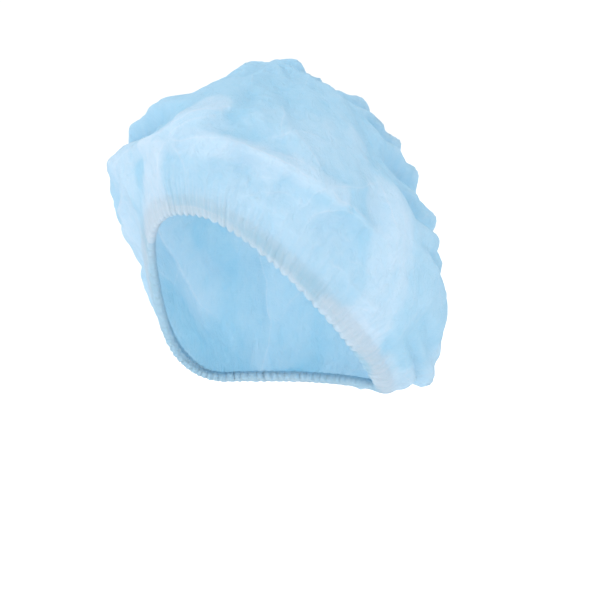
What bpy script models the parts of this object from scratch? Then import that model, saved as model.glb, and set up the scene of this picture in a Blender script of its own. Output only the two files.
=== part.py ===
"""Disposable bouffant cap, in metres, +Z up, with its front towards -Y and the wearer's left towards +X.

The cap is a round of thin non-woven cloth, gathered at its edge on an elastic loop.
It is modelled as worn: a hollow crown that stands proud of a tilted opening and hangs over at the back.
The origin lies in the middle of the gathered opening.
"""
import math

import bpy
import numpy as np

NAME = "bouffant_cap"

# Gathered edge: its reach from the origin, and its height above or below it
EDGE_FRONT = 0.078
EDGE_BACK = 0.083
EDGE_HALF_WIDTH = 0.071
EDGE_FRONT_RISE = 0.060
EDGE_SIDE_DROP = 0.018
EDGE_BACK_DROP = 0.058
# The edge runs level across the front and the back, and falls between these azimuths in degrees
EDGE_FALL_FROM = 3.0
EDGE_FALL_TO = 133.0
EDGE_TURN = 9.0

# Greatest forward lean of a row in degrees, and the level where it is reached
EDGE_LEAN = 7.0
LEAN_LEVEL = 0.30

# Crown: its widest reach, its top, and how far its apex lies behind the origin
CROWN_FRONT = 0.088
CROWN_BACK = 0.136
CROWN_HALF_WIDTH = 0.103
CROWN_HEIGHT = 0.157
APEX_SETBACK = 0.019

# Cloth, the turned-in hem and the elastic loop inside it
WALL = 0.001
CLEARANCE = 0.0004
SEAM_GAP = 0.0010
HEM_WIDTH = 0.0095
HEM_TURN = 0.25
ELASTIC_WIDTH = 0.0045
ELASTIC_THICKNESS = 0.0012

# Gathers along the edge: small pleats that fade upwards into the crown
PLEATS = 96
PLEAT_DEPTH = 0.0032
PLEAT_FADE = 0.021
TOOTH_HEIGHT = 0.0026
INNER_PLEAT_DEPTH = 0.0008

# Height and half width of a full fold, and height of the soft waves between the folds
FOLD_HEIGHT = 0.0065
FOLD_WIDTH = 0.012
WAVE_HEIGHT = 0.0032

# Rings of the flare: shares of the way from the edge to the widest reach, and to the crown's top
FLARE_RINGS = (
    # ring, out front, out side, out back, up front, up side, up back, narrowing, level ends
    ("edge", 0.00, 0.00, 0.00, 0.000, 0.000, 0.000, 0.13, 1.0),
    ("gathers", 0.35, 0.15, 0.36, 0.105, 0.020, -0.018, 0.14, 0.9),
    ("flare", 0.80, 0.48, 0.84, 0.255, 0.080, 0.010, 0.17, 0.6),
    ("bulge", 1.00, 0.88, 1.02, 0.412, 0.220, 0.165, 0.15, 0.3),
)

# Rings of the dome: shares of the widest reach measured from the apex, and of the way to the top
DOME_RINGS = (
    # ring, out front, out side, out back, up front, up side, up back, narrowing
    ("belly", 0.945, 1.000, 0.985, 0.567, 0.411, 0.419, 0.07),
    ("shoulder", 0.770, 0.850, 0.810, 0.715, 0.629, 0.660, 0.02),
    ("upper", 0.510, 0.600, 0.540, 0.850, 0.829, 0.850, 0.00),
    ("cap", 0.235, 0.310, 0.240, 0.955, 0.954, 0.962, 0.00),
    ("apex", 0.000, 0.000, 0.000, 1.000, 1.000, 1.000, 0.00),
)

# Main folds, each a crest or, where its height is negative, a hollow along a straight run.
# Azimuth is in degrees from the front towards +X, and level is 0 at the edge and 1 at the apex.
FOLDS = (
    # fold, azimuth and level at its start and its end, height and width as shares of a full fold
    ("brow crest", -12, 0.42, 24, 0.64, 0.80, 0.9),
    ("brow dent", 24, 0.60, 27, 0.70, -0.80, 0.7),
    ("diagonal upper run", 24, 0.48, 44, 0.48, 0.70, 0.9),
    ("diagonal lower run", 44, 0.48, 76, 0.44, 0.95, 0.8),
    ("hollow over the diagonal", 24, 0.54, 44, 0.57, -0.90, 1.1),
    ("star upper arm", 47, 0.60, 43, 0.68, 0.55, 0.8),
    ("star lower arm", 47, 0.60, 58, 0.48, 0.50, 0.8),
    ("side crest", 60, 0.47, 74, 0.54, 0.60, 0.9),
    ("arch front leg", 54, 0.30, 61, 0.42, 0.60, 0.9),
    ("hollow under the arch", 62, 0.36, 74, 0.36, -0.70, 1.2),
    ("ear crumple upper", 66, 0.30, 84, 0.26, 0.60, 0.8),
    ("ear crumple lower", 78, 0.19, 92, 0.17, 0.50, 0.8),
    ("temple hollow", 30, 0.36, 46, 0.38, -0.50, 1.4),
    ("far brow bulge", -48, 0.30, -38, 0.44, 0.70, 1.4),
    ("far brow notch", -70, 0.52, -38, 0.54, -0.70, 0.9),
    ("far crown dent", -64, 0.82, -10, 0.82, -0.90, 1.4),
    ("front ridge", -14, 0.06, -9, 0.30, 0.60, 0.8),
    ("front second ridge", 1, 0.20, 2, 0.40, 0.50, 0.7),
    ("top back notch", 96, 0.86, 150, 0.85, -0.95, 0.9),
    ("top side notch", 96, 0.81, 150, 0.80, -0.95, 0.8),
    ("top side crest", 88, 0.82, 100, 0.72, 0.90, 1.3),
    ("shoulder notch", 92, 0.64, 104, 0.56, -0.80, 1.1),
    ("back side crest", 96, 0.52, 112, 0.50, 0.80, 1.2),
    ("streak before the ear", 78, 0.44, 92, 0.22, 0.45, 0.8),
    ("streak behind the ear", 88, 0.46, 101, 0.24, 0.50, 0.9),
    ("pouch crest", 108, 0.38, 128, 0.36, 0.45, 1.3),
    ("pouch notch", 112, 0.31, 128, 0.29, -0.80, 0.9),
    ("nape crest", 118, 0.22, 140, 0.24, 0.25, 1.2),
    ("back long crest", 150, 0.20, 146, 0.66, 0.80, 1.2),
    ("back long hollow", 164, 0.26, 158, 0.60, -0.80, 1.2),
    ("back middle crest", 178, 0.16, 184, 0.56, 0.85, 1.1),
    ("back low crumple", 168, 0.30, 196, 0.26, 0.60, 1.0),
    ("back far hollow", 200, 0.24, 206, 0.58, -0.80, 1.3),
    ("back far crest", 222, 0.18, 214, 0.62, 0.80, 1.1),
    ("far ear crumple", 262, 0.24, 284, 0.30, 0.70, 1.0),
    ("far side long crest", 238, 0.34, 268, 0.50, 0.85, 1.0),
    ("far side hollow", 244, 0.46, 270, 0.60, -0.80, 1.2),
    ("far side second crest", 274, 0.44, 302, 0.58, 0.80, 1.0),
    ("far temple crest", 296, 0.18, 306, 0.40, 0.70, 0.9),
    ("far shoulder crest", 282, 0.70, 250, 0.80, 0.70, 1.2),
    ("top back crest", 170, 0.74, 196, 0.88, 0.70, 1.3),
    ("top back hollow", 206, 0.72, 232, 0.84, -0.70, 1.3),
    ("top far notch", 320, 0.74, 300, 0.86, -0.70, 1.2),
)

# Soft waves of the slack cloth: whole turns round and up the crown, phase in turns, share
WAVES = (
    (5, 1.5, 0.10, 0.34),
    (8, -1.0, 0.37, 0.30),
    (13, 2.0, 0.71, 0.22),
    (17, -2.5, 0.23, 0.14),
)

# Rows of the crown: shares of the gathered band, then shares of what is left up to the apex
GATHER_ROWS = (0.0, 0.43, 1.0)
BODY_ROWS = 16
BODY_SHARE = 0.86
UPPER_ROWS = (0.91, 0.96)
# How many times fewer points the body has round it than the gathers, and the top than the body
GATHER_RATIO = 3
TOP_RATIO = 2
ARC_STEPS = 240
FINITE_STEP = 0.002


def smoothstep(value):
    """Ease from 0 to 1 with level ends."""
    share = np.clip(value, 0.0, 1.0)
    return share * share * (3.0 - 2.0 * share)


def ring_sizes():
    """Each ring's front, side and back reach and heights, its narrowing and its level ends."""
    rises = (
        (EDGE_FRONT_RISE, CROWN_HEIGHT - EDGE_FRONT_RISE),
        (-EDGE_SIDE_DROP, CROWN_HEIGHT + EDGE_SIDE_DROP),
        (-EDGE_BACK_DROP, CROWN_HEIGHT + EDGE_BACK_DROP),
    )
    rings = []
    for _, front, side, back, up_front, up_side, up_back, narrowing, level in FLARE_RINGS:
        rings.append((
            EDGE_FRONT + front * (CROWN_FRONT - EDGE_FRONT),
            EDGE_HALF_WIDTH + side * (CROWN_HALF_WIDTH - EDGE_HALF_WIDTH),
            EDGE_BACK + back * (CROWN_BACK - EDGE_BACK),
            rises[0][0] + up_front * rises[0][1],
            rises[1][0] + up_side * rises[1][1],
            rises[2][0] + up_back * rises[2][1],
            narrowing,
            level,
        ))
    for _, front, side, back, up_front, up_side, up_back, narrowing in DOME_RINGS:
        rings.append((
            front * (CROWN_FRONT + APEX_SETBACK) - APEX_SETBACK,
            side * CROWN_HALF_WIDTH,
            back * (CROWN_BACK - APEX_SETBACK) + APEX_SETBACK,
            rises[0][0] + up_front * rises[0][1],
            rises[1][0] + up_side * rises[1][1],
            rises[2][0] + up_back * rises[2][1],
            narrowing,
            0.0,
        ))
    # One more ring mirrored past the apex keeps the top round
    mirrored = list(rings[-2])
    mirrored[0] = -mirrored[0] - 2.0 * APEX_SETBACK
    mirrored[1] = -mirrored[1]
    mirrored[2] = 2.0 * APEX_SETBACK - mirrored[2]
    return np.array([rings[0]] + rings + [tuple(mirrored)])


RINGS = ring_sizes()
SPANS = len(RINGS) - 3


def ring_at(level):
    """Ring sizes at a level from 0 at the edge to 1 at the apex, on a smooth curve through the rings."""
    place = np.clip(level, 0.0, 1.0) * SPANS
    first = np.minimum(place.astype(int), SPANS - 1)
    u = (place - first)[..., None]
    before, start, end, after = (RINGS[first + k] for k in range(4))
    return 0.5 * (
        2.0 * start
        + (end - before) * u
        + (2.0 * before - 5.0 * start + 4.0 * end - after) * u**2
        + (3.0 * start - before - 3.0 * end + after) * u**3
    )


def straightened(azimuth, level):
    """Azimuth on a ring: behind the sides the rows lean forwards, which keeps them square to the edge."""
    eased = np.sin(0.5 * math.pi * np.clip(level / LEAN_LEVEL, 0.0, 1.0))
    behind = np.sin(azimuth) * 0.5 * (1.0 - np.cos(azimuth))
    return azimuth - math.radians(EDGE_LEAN) * eased * behind


def envelope(column_azimuth, level):
    """Point of the smooth crown at a column's azimuth in radians and a level, without folds."""
    azimuth = straightened(column_azimuth, level)
    front, side, back, up_front, up_side, up_back, narrowing, level_ends = np.moveaxis(ring_at(level), -1, 0)
    cosine = np.cos(azimuth)
    middle = 0.5 * (up_front + up_back)
    rounded = 0.5 * (middle + up_side) + 0.5 * (up_front - up_back) * cosine
    rounded = rounded + 0.5 * (middle - up_side) * np.cos(2.0 * azimuth)
    turned = np.degrees(azimuth) - EDGE_TURN
    apart = np.abs((turned + 180.0) % 360.0 - 180.0)
    fall = smoothstep((apart - EDGE_FALL_FROM) / (EDGE_FALL_TO - EDGE_FALL_FROM))
    stepped = up_front + (up_back - up_front) * fall
    x = side * np.sin(azimuth) * (1.0 - narrowing * cosine)
    y = 0.5 * (back - front) - 0.5 * (back + front) * cosine
    z = rounded + (stepped - rounded) * level_ends
    return np.stack([x, y, z], axis=-1)


def frame_at(azimuth, level):
    """Outward normal and upward direction of the smooth crown."""
    low = np.clip(level - FINITE_STEP, 0.0, 0.995)
    high = np.clip(level + FINITE_STEP, 0.0, 1.0)
    along = envelope(azimuth, high) - envelope(azimuth, low)
    around = envelope(azimuth + FINITE_STEP, level) - envelope(azimuth - FINITE_STEP, level)
    outward = np.cross(around, along)
    outward /= np.maximum(np.linalg.norm(outward, axis=-1, keepdims=True), 1e-12)
    along /= np.maximum(np.linalg.norm(along, axis=-1, keepdims=True), 1e-12)
    return outward, along


def relief(azimuth, level):
    """Height of the folds and soft waves over the smooth crown, nothing at the edge and the apex."""
    degrees = np.degrees(azimuth)
    total = np.zeros_like(degrees)
    meridian = 1.6 * CROWN_HEIGHT
    for _, start_azimuth, start_level, end_azimuth, end_level, height, width in FOLDS:
        middle_azimuth = 0.5 * (start_azimuth + end_azimuth)
        apart = (degrees - middle_azimuth + 180.0) % 360.0 - 180.0
        scale = CROWN_HALF_WIDTH * np.sin(math.pi * np.clip(0.2 + 0.6 * level, 0.0, 1.0))
        x = np.radians(apart) * scale
        y = (level - 0.5 * (start_level + end_level)) * meridian
        run_x = 0.5 * np.radians(end_azimuth - start_azimuth) * scale
        run_y = 0.5 * (end_level - start_level) * meridian
        reach = np.sqrt(run_x**2 + run_y**2)
        along = (x * run_x + y * run_y) / reach
        across = (y * run_x - x * run_y) / reach
        beyond = np.maximum(np.abs(along) - reach, 0.0)
        distance = (across**2 + beyond**2) / (width * FOLD_WIDTH) ** 2
        total += height * FOLD_HEIGHT * np.exp(-distance)
    for around, up, phase, share in WAVES:
        total += share * WAVE_HEIGHT * np.sin(2.0 * math.pi * (around * degrees / 360.0 + up * level + phase))
    return total * smoothstep(level / 0.16) * smoothstep((1.0 - level) / 0.14)


def column_azimuths(columns):
    return 2.0 * math.pi * np.arange(columns) / columns


def levels_at(azimuth, distance_above, share):
    """Level at a distance above the edge, plus a share of the rest of the way to the apex."""
    levels = np.linspace(0.0, 1.0, ARC_STEPS)
    grid_azimuth, grid_level = np.meshgrid(azimuth, levels, indexing="ij")
    points = envelope(grid_azimuth, grid_level)
    steps = np.linalg.norm(np.diff(points, axis=1), axis=-1)
    arcs = np.concatenate([np.zeros((len(azimuth), 1)), np.cumsum(steps, axis=1)], axis=1)
    wanted = distance_above + share * (arcs[:, -1] - distance_above)
    return np.array([np.interp(w, arc, levels) for w, arc in zip(wanted, arcs)])


def pleat_wave(azimuth):
    """One crest and one hollow for each small pleat."""
    return np.cos(PLEATS * azimuth)


def crown_ring(columns, gathered, share=0.0):
    """One ring of crown points, at a share of the gathered band and then of the way to the apex."""
    azimuth = column_azimuths(columns)
    level = levels_at(azimuth, HEM_WIDTH + SEAM_GAP + gathered * PLEAT_FADE, share)
    outward, _ = frame_at(azimuth, level)
    pleats = 0.5 * PLEAT_DEPTH * (1.0 - smoothstep(gathered)) * pleat_wave(azimuth)
    lift = relief(azimuth, level) + pleats
    return envelope(azimuth, level) + lift[:, None] * outward


def ring_faces(lower, upper):
    """Faces between two rings of indices, where the lower ring has a whole multiple of the upper's points."""
    faces = []
    count = len(upper)
    ratio = len(lower) // count
    for j in range(count):
        left, right = upper[j], upper[(j + 1) % count]
        run = [lower[(ratio * j + k) % len(lower)] for k in range(ratio + 1)]
        if ratio == 1:
            faces.append((run[0], run[1], right, left))
            continue
        turn = ratio // 2
        faces.extend((run[k], run[k + 1], left) for k in range(turn))
        faces.append((run[turn], right, left))
        faces.extend((run[k], run[k + 1], right) for k in range(turn, ratio))
    return faces


def mesh_from_rings(name, rings, apex=None, closed_section=False):
    """A mesh lofted through rings of points, with an apex or with its last ring joined to its first."""
    points = []
    indices = []
    for ring in rings:
        indices.append(list(range(len(points), len(points) + len(ring))))
        points.extend(tuple(point) for point in ring)
    faces = []
    pairs = list(zip(indices, indices[1:]))
    if closed_section:
        pairs.append((indices[-1], indices[0]))
    for lower, upper in pairs:
        faces.extend(ring_faces(lower, upper))
    if apex is not None:
        points.append(tuple(apex))
        top = indices[-1]
        for j in range(len(top)):
            faces.append((top[j], top[(j + 1) % len(top)], len(points) - 1))
    mesh = bpy.data.meshes.new(name)
    mesh.from_pydata(points, [], faces)
    mesh.validate()
    mesh.shade_smooth()
    return mesh


def material(name, color, roughness):
    made = bpy.data.materials.new(name)
    made.use_nodes = True
    shader = made.node_tree.nodes["Principled BSDF"]
    shader.inputs["Base Color"].default_value = (*color, 1.0)
    shader.inputs["Roughness"].default_value = roughness
    shader.inputs["Metallic"].default_value = 0.0
    return made


def add_piece(name, mesh, finish):
    piece = bpy.data.objects.new(name, mesh)
    mesh.materials.append(finish)
    bpy.data.collections[NAME].objects.link(piece)
    return piece


def give_wall(piece):
    """Give an open cloth surface its thickness, inwards from its face."""
    solidify = piece.modifiers.new("cloth wall", "SOLIDIFY")
    solidify.thickness = WALL
    solidify.offset = -1.0
    solidify.use_rim = True


def make_crown(finish):
    """The hollow crown, from just above the hem up to its closed apex."""
    full = 2 * PLEATS
    body = full // GATHER_RATIO
    rings = [crown_ring(full, gathered) for gathered in GATHER_ROWS]
    for k in range(BODY_ROWS):
        rings.append(crown_ring(body, 1.0, BODY_SHARE * (k + 1) / BODY_ROWS))
    for share in UPPER_ROWS:
        rings.append(crown_ring(body // TOP_RATIO, 1.0, share))
    mesh = mesh_from_rings("crown", rings, apex=(0.0, APEX_SETBACK, CROWN_HEIGHT))
    give_wall(add_piece("crown", mesh, finish))


def hem_depth():
    """Depth of the hem from its outer face to its inner face, round the elastic."""
    pleats = 0.5 * (PLEAT_DEPTH + INNER_PLEAT_DEPTH)
    return pleats + 2.0 * WALL + 2.0 * CLEARANCE + ELASTIC_THICKNESS


def hem_ring(columns, above, inward, pleat_depth=0.0, tooth=0.0):
    """One ring a distance above the edge and inward of the crown's face, with pleats and teeth."""
    azimuth = column_azimuths(columns)
    level = levels_at(azimuth, above, 0.0)
    outward, along = frame_at(azimuth, level)
    wave = pleat_wave(azimuth)
    out = 0.5 * pleat_depth * wave - inward
    down = -0.5 * tooth * wave
    return envelope(azimuth, level) + out[:, None] * outward + down[:, None] * along


def make_hem(finish):
    """The hem: the cloth's edge turned in round the elastic, with one small tooth for each pleat."""
    depth = hem_depth()
    turn = HEM_TURN * HEM_WIDTH
    sections = (
        # height above the edge, distance inward, pleat depth, tooth height
        (0.92 * HEM_WIDTH, depth, INNER_PLEAT_DEPTH, 0.0),
        (turn, depth, INNER_PLEAT_DEPTH, 0.0),
        (0.0, 0.5 * depth, 0.5 * PLEAT_DEPTH, TOOTH_HEIGHT),
        (turn, 0.0, PLEAT_DEPTH, 0.0),
        (HEM_WIDTH, 0.0, PLEAT_DEPTH, 0.0),
    )
    rings = [hem_ring(2 * PLEATS, *section) for section in sections]
    give_wall(add_piece("gathered_hem", mesh_from_rings("gathered_hem", rings), finish))


def make_elastic(finish):
    """The elastic: one flat loop that lies inside the hem, clear of both its walls."""
    face = 0.5 * PLEAT_DEPTH + WALL + CLEARANCE
    low = 0.5 * (HEM_WIDTH - HEM_TURN * HEM_WIDTH - ELASTIC_WIDTH)
    corners = (
        # height above the hem's turn, distance inward
        (low, face),
        (low + ELASTIC_WIDTH, face),
        (low + ELASTIC_WIDTH, face + ELASTIC_THICKNESS),
        (low, face + ELASTIC_THICKNESS),
    )
    rings = []
    for above, inward in corners:
        # The hem's walls are straight from their turn to their top, and the elastic follows them
        start = hem_ring(2 * PLEATS, HEM_TURN * HEM_WIDTH, inward)
        end = hem_ring(2 * PLEATS, HEM_WIDTH, inward)
        rings.append(start + above / (HEM_WIDTH - HEM_TURN * HEM_WIDTH) * (end - start))
    add_piece("elastic_band", mesh_from_rings("elastic_band", rings, closed_section=True), finish)


def main():
    for existing in list(bpy.data.objects):
        bpy.data.objects.remove(existing, do_unlink=True)
    bpy.context.scene.collection.children.link(bpy.data.collections.new(NAME))
    cloth = material("pale_blue_nonwoven", (0.53, 0.74, 0.91), 0.85)
    hem_cloth = material("pale_blue_hem", (0.50, 0.72, 0.90), 0.85)
    elastic = material("white_elastic", (0.82, 0.86, 0.88), 0.7)
    make_crown(cloth)
    make_hem(hem_cloth)
    make_elastic(elastic)


main()
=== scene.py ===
"""Looks of a disposable bouffant cap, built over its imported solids.

The cap is a round of light blue non-woven cloth gathered onto an elastic loop. Its crown, its
turned-in hem and its elastic are worked out here as fine surfaces on the same form as the solids,
with the creases, crumples and gathers of the slack cloth.
"""

import math

import bpy
import numpy as np
from mathutils import Matrix, Vector


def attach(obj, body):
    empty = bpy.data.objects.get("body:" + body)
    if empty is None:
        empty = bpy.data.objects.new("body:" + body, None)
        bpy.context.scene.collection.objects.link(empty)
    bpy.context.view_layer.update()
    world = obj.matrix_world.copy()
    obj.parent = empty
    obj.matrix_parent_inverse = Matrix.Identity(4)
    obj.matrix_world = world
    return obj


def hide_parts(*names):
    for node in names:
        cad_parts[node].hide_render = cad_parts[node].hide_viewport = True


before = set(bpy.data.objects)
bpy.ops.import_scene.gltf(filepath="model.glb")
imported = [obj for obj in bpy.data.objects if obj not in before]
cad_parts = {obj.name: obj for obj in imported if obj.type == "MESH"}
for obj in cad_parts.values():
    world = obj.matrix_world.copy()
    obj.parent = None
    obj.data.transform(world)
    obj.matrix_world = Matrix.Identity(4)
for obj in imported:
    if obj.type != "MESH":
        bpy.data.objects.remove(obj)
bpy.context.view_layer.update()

bl_info = {
    "name": "Disposable bouffant cap",
    "version": (1, 0, 0),
    "blender": (4, 5, 0),
    "location": "View3D > Sidebar > Cap",
    "description": "Builds a gathered non-woven cap over its packed solids, with a stage for it",
    "category": "Object",
}

# Form of the cap, in metres: the front is -Y, +Z is up, and the origin is midway between the sides.
# Edge: how far the opening's rim reaches to the front, the back and each side, and its heights
EDGE_FRONT = 0.078
EDGE_BACK = 0.083
EDGE_HALF_WIDTH = 0.071
EDGE_FRONT_RISE = 0.060
EDGE_SIDE_DROP = 0.018
EDGE_BACK_DROP = 0.058
# The edge runs level across the front and the back, and falls between these azimuths in degrees
EDGE_FALL_FROM = 3.0
EDGE_FALL_TO = 133.0
EDGE_TURN = 9.0
# Greatest forward lean of a row in degrees, and the level where it is reached
EDGE_LEAN = 7.0
LEAN_LEVEL = 0.30
# How much closer the far side lies low down, as a share, the azimuth and spread of that in
# degrees, and the level where it ends
FAR_SIDE_CLOSER = 0.10
FAR_SIDE_AZIMUTH = -58.0
FAR_SIDE_SPREAD = 32.0
FAR_SIDE_END = 0.42
# Crown: its widest reach, its top, and how far its apex lies behind the origin
CROWN_FRONT = 0.088
CROWN_BACK = 0.136
CROWN_HALF_WIDTH = 0.103
CROWN_HEIGHT = 0.157
APEX_SETBACK = 0.019

# Rings of the flare: shares of the way from the edge to the widest reach, and to the crown's top
FLARE_RINGS = (
    # ring, out front, out side, out back, up front, up side, up back, narrowing, level ends
    ("edge", 0.00, 0.00, 0.00, 0.000, 0.000, 0.000, 0.13, 1.0),
    ("gathers", 0.35, 0.15, 0.36, 0.105, 0.020, -0.018, 0.14, 0.9),
    ("flare", 0.80, 0.48, 0.84, 0.255, 0.080, 0.010, 0.17, 0.6),
    ("bulge", 1.00, 0.88, 1.02, 0.412, 0.220, 0.165, 0.15, 0.3),
)
# Rings of the dome: shares of the widest reach measured from the apex, and of the way to the top
DOME_RINGS = (
    # ring, out front, out side, out back, up front, up side, up back, narrowing
    ("belly", 0.945, 1.000, 0.985, 0.567, 0.411, 0.419, 0.07),
    ("shoulder", 0.770, 0.850, 0.810, 0.715, 0.629, 0.660, 0.02),
    ("upper", 0.510, 0.600, 0.540, 0.850, 0.829, 0.850, 0.00),
    ("cap", 0.235, 0.310, 0.240, 0.955, 0.954, 0.962, 0.00),
    ("apex", 0.000, 0.000, 0.000, 1.000, 1.000, 1.000, 0.00),
)

# Main folds, each a crest or, where its height is negative, a hollow along a straight run.
# Azimuth is in degrees from the front towards +X, and level is 0 at the edge and 1 at the apex.
FOLDS = (
    # fold, azimuth and level at its start and its end, height and width as shares of a full fold
    ("brow crest", -12, 0.42, 24, 0.64, 0.50, 0.9),
    ("brow dent", 24, 0.60, 27, 0.70, -0.60, 0.7),
    ("diagonal upper run", 24, 0.48, 44, 0.48, 0.40, 0.9),
    ("diagonal lower run", 44, 0.48, 76, 0.44, 0.55, 0.8),
    ("hollow over the diagonal", 24, 0.54, 44, 0.57, -0.50, 1.1),
    ("star upper arm", 47, 0.60, 43, 0.68, 0.40, 0.8),
    ("star lower arm", 47, 0.60, 58, 0.48, 0.35, 0.8),
    ("side crest", 60, 0.47, 74, 0.54, 0.40, 0.9),
    ("arch front leg", 54, 0.30, 61, 0.42, 0.40, 0.9),
    ("hollow under the arch", 62, 0.36, 74, 0.36, -0.50, 1.2),
    ("ear crumple upper", 66, 0.30, 84, 0.26, 0.60, 0.8),
    ("ear crumple lower", 78, 0.19, 92, 0.17, 0.50, 0.8),
    ("temple hollow", 30, 0.36, 46, 0.38, -0.50, 1.4),
    ("far brow bulge", -48, 0.30, -38, 0.44, 0.70, 1.4),
    ("far brow notch", -70, 0.52, -38, 0.54, -0.70, 0.9),
    ("far brow hollow", -40, 0.500, -12, 0.505, -0.95, 1.0),
    ("far crown dent", -64, 0.82, -10, 0.82, -0.90, 1.4),
    ("front ridge", -14, 0.06, -9, 0.30, 0.35, 0.8),
    ("front second ridge", 1, 0.20, 2, 0.40, 0.30, 0.7),
    ("top back notch", 100, 0.88, 150, 0.83, -0.70, 1.1),
    ("top side notch", 92, 0.83, 146, 0.79, -0.60, 1.0),
    ("top side crest", 88, 0.82, 100, 0.72, 0.90, 1.3),
    ("shoulder notch", 92, 0.64, 104, 0.56, -0.80, 1.1),
    ("back side crest", 96, 0.52, 112, 0.50, 0.80, 1.2),
    ("streak before the ear", 78, 0.44, 92, 0.22, 0.45, 0.8),
    ("streak behind the ear", 88, 0.46, 101, 0.24, 0.50, 0.9),
    ("pouch crest", 108, 0.38, 128, 0.36, 0.45, 1.3),
    ("pouch notch", 112, 0.31, 128, 0.29, -0.80, 0.9),
    ("nape crest", 118, 0.22, 140, 0.24, 0.25, 1.2),
    ("back long crest", 150, 0.20, 146, 0.66, 0.80, 1.2),
    ("back long hollow", 164, 0.26, 158, 0.60, -0.80, 1.2),
    ("back middle crest", 178, 0.16, 184, 0.56, 0.85, 1.1),
    ("back low crumple", 168, 0.30, 196, 0.26, 0.60, 1.0),
    ("back far hollow", 200, 0.24, 206, 0.58, -0.80, 1.3),
    ("back far crest", 222, 0.18, 214, 0.62, 0.80, 1.1),
    ("far ear crumple", 262, 0.24, 284, 0.30, 0.70, 1.0),
    ("far side long crest", 238, 0.34, 268, 0.50, 0.85, 1.0),
    ("far side hollow", 244, 0.46, 270, 0.60, -0.80, 1.2),
    ("far side second crest", 274, 0.44, 302, 0.58, 0.80, 1.0),
    ("far temple crest", 296, 0.18, 306, 0.40, 0.70, 0.9),
    ("far shoulder crest", 282, 0.70, 250, 0.80, 0.70, 1.2),
    ("top back crest", 170, 0.74, 196, 0.88, 0.70, 1.3),
    ("top back hollow", 206, 0.72, 232, 0.84, -0.70, 1.3),
    ("top far notch", 320, 0.74, 300, 0.86, -0.70, 1.2),
)
FOLD_HEIGHT = 0.0065
FOLD_WIDTH = 0.012

# Soft waves of the slack cloth: whole turns round and up the crown, phase in turns, share
WAVES = (
    (5, 1.5, 0.10, 0.34),
    (8, -1.0, 0.37, 0.30),
    (13, 2.0, 0.71, 0.22),
    (17, -2.5, 0.23, 0.14),
)
WAVE_HEIGHT = 0.0032

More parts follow.
